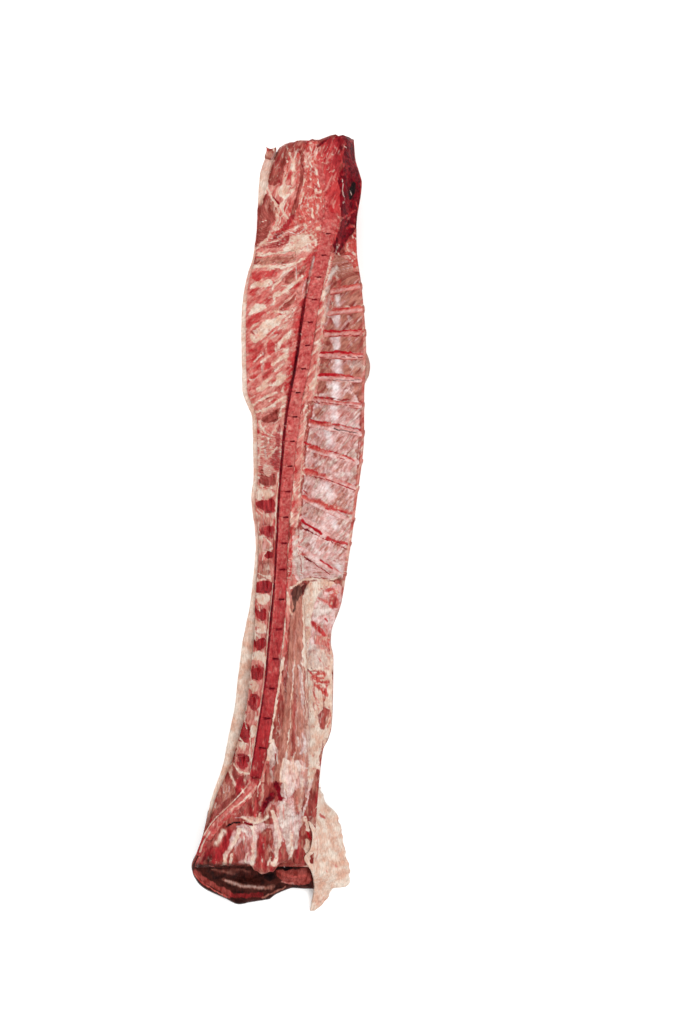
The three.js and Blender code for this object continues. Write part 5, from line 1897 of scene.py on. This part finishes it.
def make_ribs():
    """Paths that sink into the meat at both ends, swept by the tree."""
    places, edges, girth = [], [], []
    for index in RIB_NUMBERS:
        inner, outer = rib_span(index)
        for k in range(RIB_POINTS):
            u = k / (RIB_POINTS - 1)
            x = lerp(inner - 3, outer, u)
            s = rib_start(index) + rib_slope(index) * (x - inner) + 0.8 * math.sin(3 * u + index)
            crown = RIB_CROWN - 0.5 * float(smooth(300, 500, s))
            sunk = 2.5 * max(0, 1 - u * 8) ** 2 + 3 * max(0, u * 10 - 9) ** 2
            z = float(top_height(s, x)) + crown - RIB_THICKNESS / 2 - sunk
            places.append(to_frame(s, x, z).tolist())
            girth.append(RIB_WIDTH / 2 * MM * (0.92 + 0.08 * math.sin(5 * u + index)))
            if k:
                edges.append((len(places) - 2, len(places) - 1))
    mesh = bpy.data.meshes.new("rib_paths")
    mesh.from_pydata(places, edges, [])
    mesh.attributes.new("girth", "FLOAT", "POINT").data.foreach_set("value", np.array(girth, np.float32))
    made = grown("ribs", mesh, SWEEP, Material=RIB, Sides=24, Flatness=RIB_THICKNESS / RIB_WIDTH)
    across = np.empty(len(made.vertices))
    made.attributes["across"].data.foreach_get("value", across)
    nodes = ["rib_%02d" % (i + 1) for i in range(len(RIB_NUMBERS))]
    return dress(
        "ribs_piece", made, RIB, nodes, "rib", chart=RIB_MARKS, ground="pleura", side="tan",
        tint=lambda points, weights: rib_tint(points, weights, across), flecks=0.3,
    )


def rib_tint(points, weights, across):
    """Pink bone under the membrane, a red line along one edge and a dark one along the other."""
    mm = points / MM
    along_loin = smooth(150, 560, MID_S - mm[:, 1])
    patchy = cloudy(mm, 12, 91)
    s, x = MID_S - mm[:, 1], mm[:, 0] + MID_X
    inner = spine(s) + spine_half(s) + RIB_GAP
    outward = np.clip((x - inner) / (rib_edge(s) - inner), 0, 1)
    layers = (
        ("marbled", 0.5 * (1 - 0.8 * along_loin)),
        ("pleura", 0.45 + 0.6 * along_loin + 0.25 * patchy),
    )
    base = np.zeros_like(weights)
    for tissue, share in layers:
        base[:, TISSUES.index(tissue)] = np.clip(share, 0.02, 1)
    base /= base.sum(1, keepdims=True)
    for tissue, low, high, strength in (
        ("coral", 0.3, -0.5, 0.5 - 0.2 * along_loin + 0.5 * patchy),
        ("scarlet", -0.1 - outward * 0.4, -0.4 - outward * 0.4, 0.45 - 0.5 * outward + 0.5 * patchy),
        ("coral", 0.2, 0.6, 0.4 * (1 - along_loin)), ("garnet", 0.52, 0.64, 0.3 + 0.7 * patchy),
    ):
        base = cover(base, tissue, smooth(0, 1, (across - low) / (high - low)) * strength)
    ground = weights[:, [TISSUES.index("pleura")]]
    drawn = weights.copy()
    drawn[:, TISSUES.index("pleura")] = 0
    return base * ground + drawn


make_ribs()

# %% [markdown]
# ## Tenderloin
# A long tapered muscle lies beside the lumbar vertebrae, over the last ribs and down to the rump. It
# is a loft with an oval section, wrapped in silvery membrane.

# %% Tenderloin
tender_middle = rail((552, 17), (630, 20), (700, 19.5), (780, 16), (884, 8))
tender_half = rail((552, 2.5), (600, 8.5), (680, 13), (750, 18), (830, 22), (884, 15))
tender_rise = rail((552, 1), (600, 8), (700, 13), (800, 12), (884, 2.5))
TENDER_START, TENDER_END = 552, 884
TENDER_RINGS, TENDER_COLUMNS = 260, 90


def make_tenderloin():
    """Ovals along the muscle, whose upper half rises out of the meat."""
    s = np.linspace(TENDER_START, TENDER_END, TENDER_RINGS)[:, None]
    a = np.linspace(0, 2 * math.pi, TENDER_COLUMNS, endpoint=False)[None]
    ends = np.minimum((s - TENDER_START + 0.5) / 5, (TENDER_END + 0.5 - s) / 9)
    ends = np.sqrt(np.clip(ends, 0, 1))
    half = tender_half(s) * (0.5 + 0.5 * ends)
    x = tender_middle(s) - half * np.cos(a)
    lift = tender_rise(s) * ends
    sink = 11 * half / 22
    middle = top_height(s, tender_middle(s)) - 1
    z = middle + np.where(np.sin(a) > 0, lift, sink) * np.sin(a)
    ring = to_frame(s + 0 * a, x, z)
    plan = np.stack([(s + 0 * a).ravel(), x.ravel()], 1)
    _, relief = read_chart(to_photo(ring.reshape(-1, 3)), CHART, "muscle")
    fibres = noise(plan * (0.12, 1.0), 2.6, 95) * 0.35
    h = cloudy(plan, 13, 97) * 0.9 + cloudy(plan, 4, 99) * 0.3 + fibres + relief
    ring = lifted(ring, h.reshape(x.shape) * np.clip(np.sin(a) + 0.3, 0, 1) * MM)
    ring = with_caps(ring, 5)
    return build(
        "tenderloin_piece", ring.reshape(-1, 3), loft_faces(*ring.shape[:2]), TENDERLOIN, ["tenderloin"],
        "tenderloin", ground="tan", flecks=0.4,
    )


make_tenderloin()

# %% [markdown]
# ## The sawn rump
# Under the ragged upper edge the rump muscle goes on as a lower slab. Its lip curves out past the
# cut, with a hollow behind it. The slab is coloured dark brown, its own dark meat with painted shade
# under the overhang. It is a closed sheet over a plan: every point of the plan has an upper and a
# lower height, and the heights meet at the rim.

# %% Slab helper


def slab(name, s, x, top, bottom, rounding, material, nodes, slot, **looks):
    """A closed body over a grid of plan positions; its rim is round over the given distance."""
    rows, cols = s.shape
    i, j = np.meshgrid(np.arange(rows), np.arange(cols), indexing="ij")
    down = np.minimum(i, rows - 1 - i) * np.hypot(np.gradient(s, axis=0), np.gradient(x, axis=0))
    side = np.minimum(j, cols - 1 - j) * np.hypot(np.gradient(s, axis=1), np.gradient(x, axis=1))
    edge = np.clip(np.minimum(down, side) / rounding, 0, 1)
    bow = np.sqrt(1 - (1 - edge) ** 2)
    middle = (top + bottom) / 2
    upper = to_frame(s, x, middle + (top - middle) * bow)
    lower = to_frame(s, x, middle + (bottom - middle) * bow)
    rim = (i == 0) | (i == rows - 1) | (j == 0) | (j == cols - 1)
    number_up = np.arange(rows * cols).reshape(rows, cols)
    number_low = number_up.copy()
    number_low[~rim] = rows * cols + np.arange((~rim).sum())
    points = np.concatenate([upper.reshape(-1, 3), lower[~rim]])

    def quads(n):
        return np.stack([n[:-1, :-1], n[1:, :-1], n[1:, 1:], n[:-1, 1:]], -1).reshape(-1, 4)

    faces = np.concatenate([quads(number_up), quads(number_low)[:, ::-1]])
    return build(name, points, faces, material, nodes, slot, **looks)


# %% Rump slab
# This slab lies in the hollow under the overhanging meat: its dark brown ground is its own dark meat with
# painted shade. The near-black patches are holes painted as shade, the soft tan and membrane glows across its
# middle are painted highlights, and the small white dot is a painted glint.
LIP = patch(
    185, 640, 5,
    """
muscle 0/0.25 110,1150 200,1145 330,1150 380,1175 330,1196 220,1186 150,1176
tan -8/0.25 190,1165 250,1158 320,1161
tan -8/0.35 130,1150 180,1165 240,1175
clot 0/0.7 395,1175 450,1165 455,1200 420,1216 390,1202
clot 9/0.5 150,1195 210,1210 260,1222
tan -14/0.5 190,1205 240,1225 320,1243 400,1248 440,1240
membrane -9/0.3 200,1208 250,1226 320,1241 390,1246
muscle 26/0.75 50,1165 90,1205 150,1240 220,1275
coral 7/0.7 38,1165 58,1200 103,1238 158,1268 220,1296
garnet 24/0.5 230,1280 300,1290 380,1280
tan 9/0.6 390,1296 440,1268 500,1245
muscle 0/0.85 455,1150 560,1150 635,1130 640,1230 560,1238 500,1225 460,1190
coral 12/0.5 470,1165 540,1190 600,1185
marbled 9/0.5 480,1215 540,1228
clot 0/0.85 475,1125 530,1125 545,1150 500,1160 478,1150
sheen 6/0.9 488,1130 494,1140
umber 14/0.7 560,1240 635,1235
""",
)
SLAB_ROWS, SLAB_COLUMNS = 110, 150
SLAB_START, SLAB_SIDE = 880, 42.0  # where it begins under the meat, and its rib side
SLAB_HEIGHT, SLAB_FOOT = 30, 3.0
lip_edge = rail(
    (-121, 952), (-116, 963.4), (-112, 971), (-107, 977.5), (-98, 984), (-87.3, 989), (-74.3, 994.8),
    (-56, 1002.8), (-41, 1000), (-22, 997), (-16.5, 996), (-9, 990.4), (1.7, 985.4), (14.7, 981.4),
    (30.3, 982.4), (40, 982.4),
)


def make_rump():
    """The slab's end follows its lip and its left side follows the back edge, found step by step."""
    u = np.linspace(0, 1, SLAB_COLUMNS)[None]
    f = np.linspace(0, 1, SLAB_ROWS)[:, None]
    s = SLAB_START + f * 110 + 0 * u
    for _ in range(14):
        x = lerp(back_edge(s) - 1.0, SLAB_SIDE, u)
        s = (s + SLAB_START + f * (lip_edge(x) - SLAB_START)) / 2
    plan = np.stack([s.ravel(), x.ravel()], 1)
    lip = smooth(-26, -6, s - lip_edge(x))
    bowl = np.exp(-(((x + 42) / 46) ** 2 + ((s - 962) / 17) ** 2))
    lobe = np.exp(-(((x - 10) / 22) ** 2 + ((s - 958) / 15) ** 2))
    lumps = (cloudy(plan, 14, 101) * 1.6 + cloudy(plan, 4.5, 103) * 0.6).reshape(s.shape)
    top = SLAB_HEIGHT - 9 * bowl - 5 * lip + lumps + 8 * lobe
    # Dark brown on top and at the sides: the slab's own dark meat with painted shade, as it lies under the
    # overhang.
    return slab(
        "rump_piece", s, x, top, SLAB_FOOT + 0 * s, 16.0, MEAT, ["lean_meat"], "meat",
        chart=LIP, ground="umber", side="umber", flecks=0.3,
    )


make_rump()

# %% [markdown]
# ## The flap
# A thin sheet of fat hangs from the rib side of the rump and spreads over the table. Its edge is torn
# and it lies in soft waves.

# %% Fat flap
flap_inner = rail(
    (850, 47), (872, 46), (880, 38), (885, 31), (894, 35), (911, 40), (927, 37.5), (940, 29), (950, 34),
    (958, 38.5), (971, 41), (985, 41), (1000, 38.5), (1012, 36.5),
)
flap_outer = rail(
    (850, 50), (867, 56.5), (889, 73), (916, 79.5), (935, 82.5), (951, 88), (969, 89), (977, 88),
    (980.5, 85), (983, 66), (994, 60), (1004, 53), (1012, 43),
)
flap_height = rail((850, 50), (862, 53), (900, 60), (935, 62), (960, 48), (978, 20), (1008, 8))
FLAP = patch(
    185, 780, 9.22,
    """
marbled 20/0.8 1240,330 1290,360
coral 16/0.5 1280,200 1300,220
marbled 24/0.7 1370,790 1400,810
coral 10/0.6 1300,840 1310,860
membrane 14/0.5 1330,510 1340,560
membrane 10/0.5 1270,440 1300,460
marbled 10/0.5 1200,420 1230,600 1210,760
marbled 8/0.4 1360,420 1400,560 1420,700
marbled 12/0.4 1190,1180 1250,1140 1300,1080
""",
)
FLAP_START, FLAP_END = 850, 1012
FLAP_ROWS, FLAP_COLUMNS = 150, 90


def make_flap():
    """A sheet from the rib side of the meat down to the table, thinner towards its torn edge."""
    u = np.linspace(0, 1, FLAP_COLUMNS)[None]
    s = np.linspace(FLAP_START, FLAP_END, FLAP_ROWS)[:, None] + 0 * u
    torn = noise(np.stack([s.ravel(), 0 * s.ravel()], 1), 5, 111).reshape(s.shape) * 1.3
    inner = flap_inner(s)
    outer = flap_outer(s) + torn
    x = lerp(inner, outer, u)
    plan = np.stack([s.ravel(), x.ravel()], 1)
    waves = 2.4 * np.sin(s / 11 + 2.5 * u) * u
    lumps = (cloudy(plan, 9, 113) * 0.9 + cloudy(plan, 3, 115) * 0.3).reshape(s.shape)
    top = lerp(flap_height(s), 7, u**0.8) + waves + lumps
    bottom = np.minimum(np.maximum(top - lerp(15, 7, u), 0.2), top - 1.5)
    return slab(
        "flap_piece", s, x, top, bottom, 3.0, FAT, ["back_fat"], "fat",
        chart=FLAP, ground="fat", side="fat", flecks=0.35,
    )


make_flap()

# %% Neck tag
TAG = patch(
    240, 130, 6.5,
    """
coral 9/0.8 180,115 175,160
garnet 10/0.6 190,130 215,120
fat 7/0.7 222,115 228,150
""",
)


def make_tag():
    """A small slab whose sides are bent a little."""
    a = np.linspace(-1, 1, 30)
    s, x = np.meshgrid(22.5 + 7.5 * a, -14.5 + 6.5 * a, indexing="ij")
    s, x = s + 1.5 * np.sin(x / 3), x + 1.2 * np.cos(s / 3)
    return slab(
        "neck_tag_piece", s, x, 38 + 0 * s, 24 + 0 * s, 5.0, FAT, ["back_fat"], "fat",
        chart=TAG, ground="tan", side="tan",
    )


make_tag()
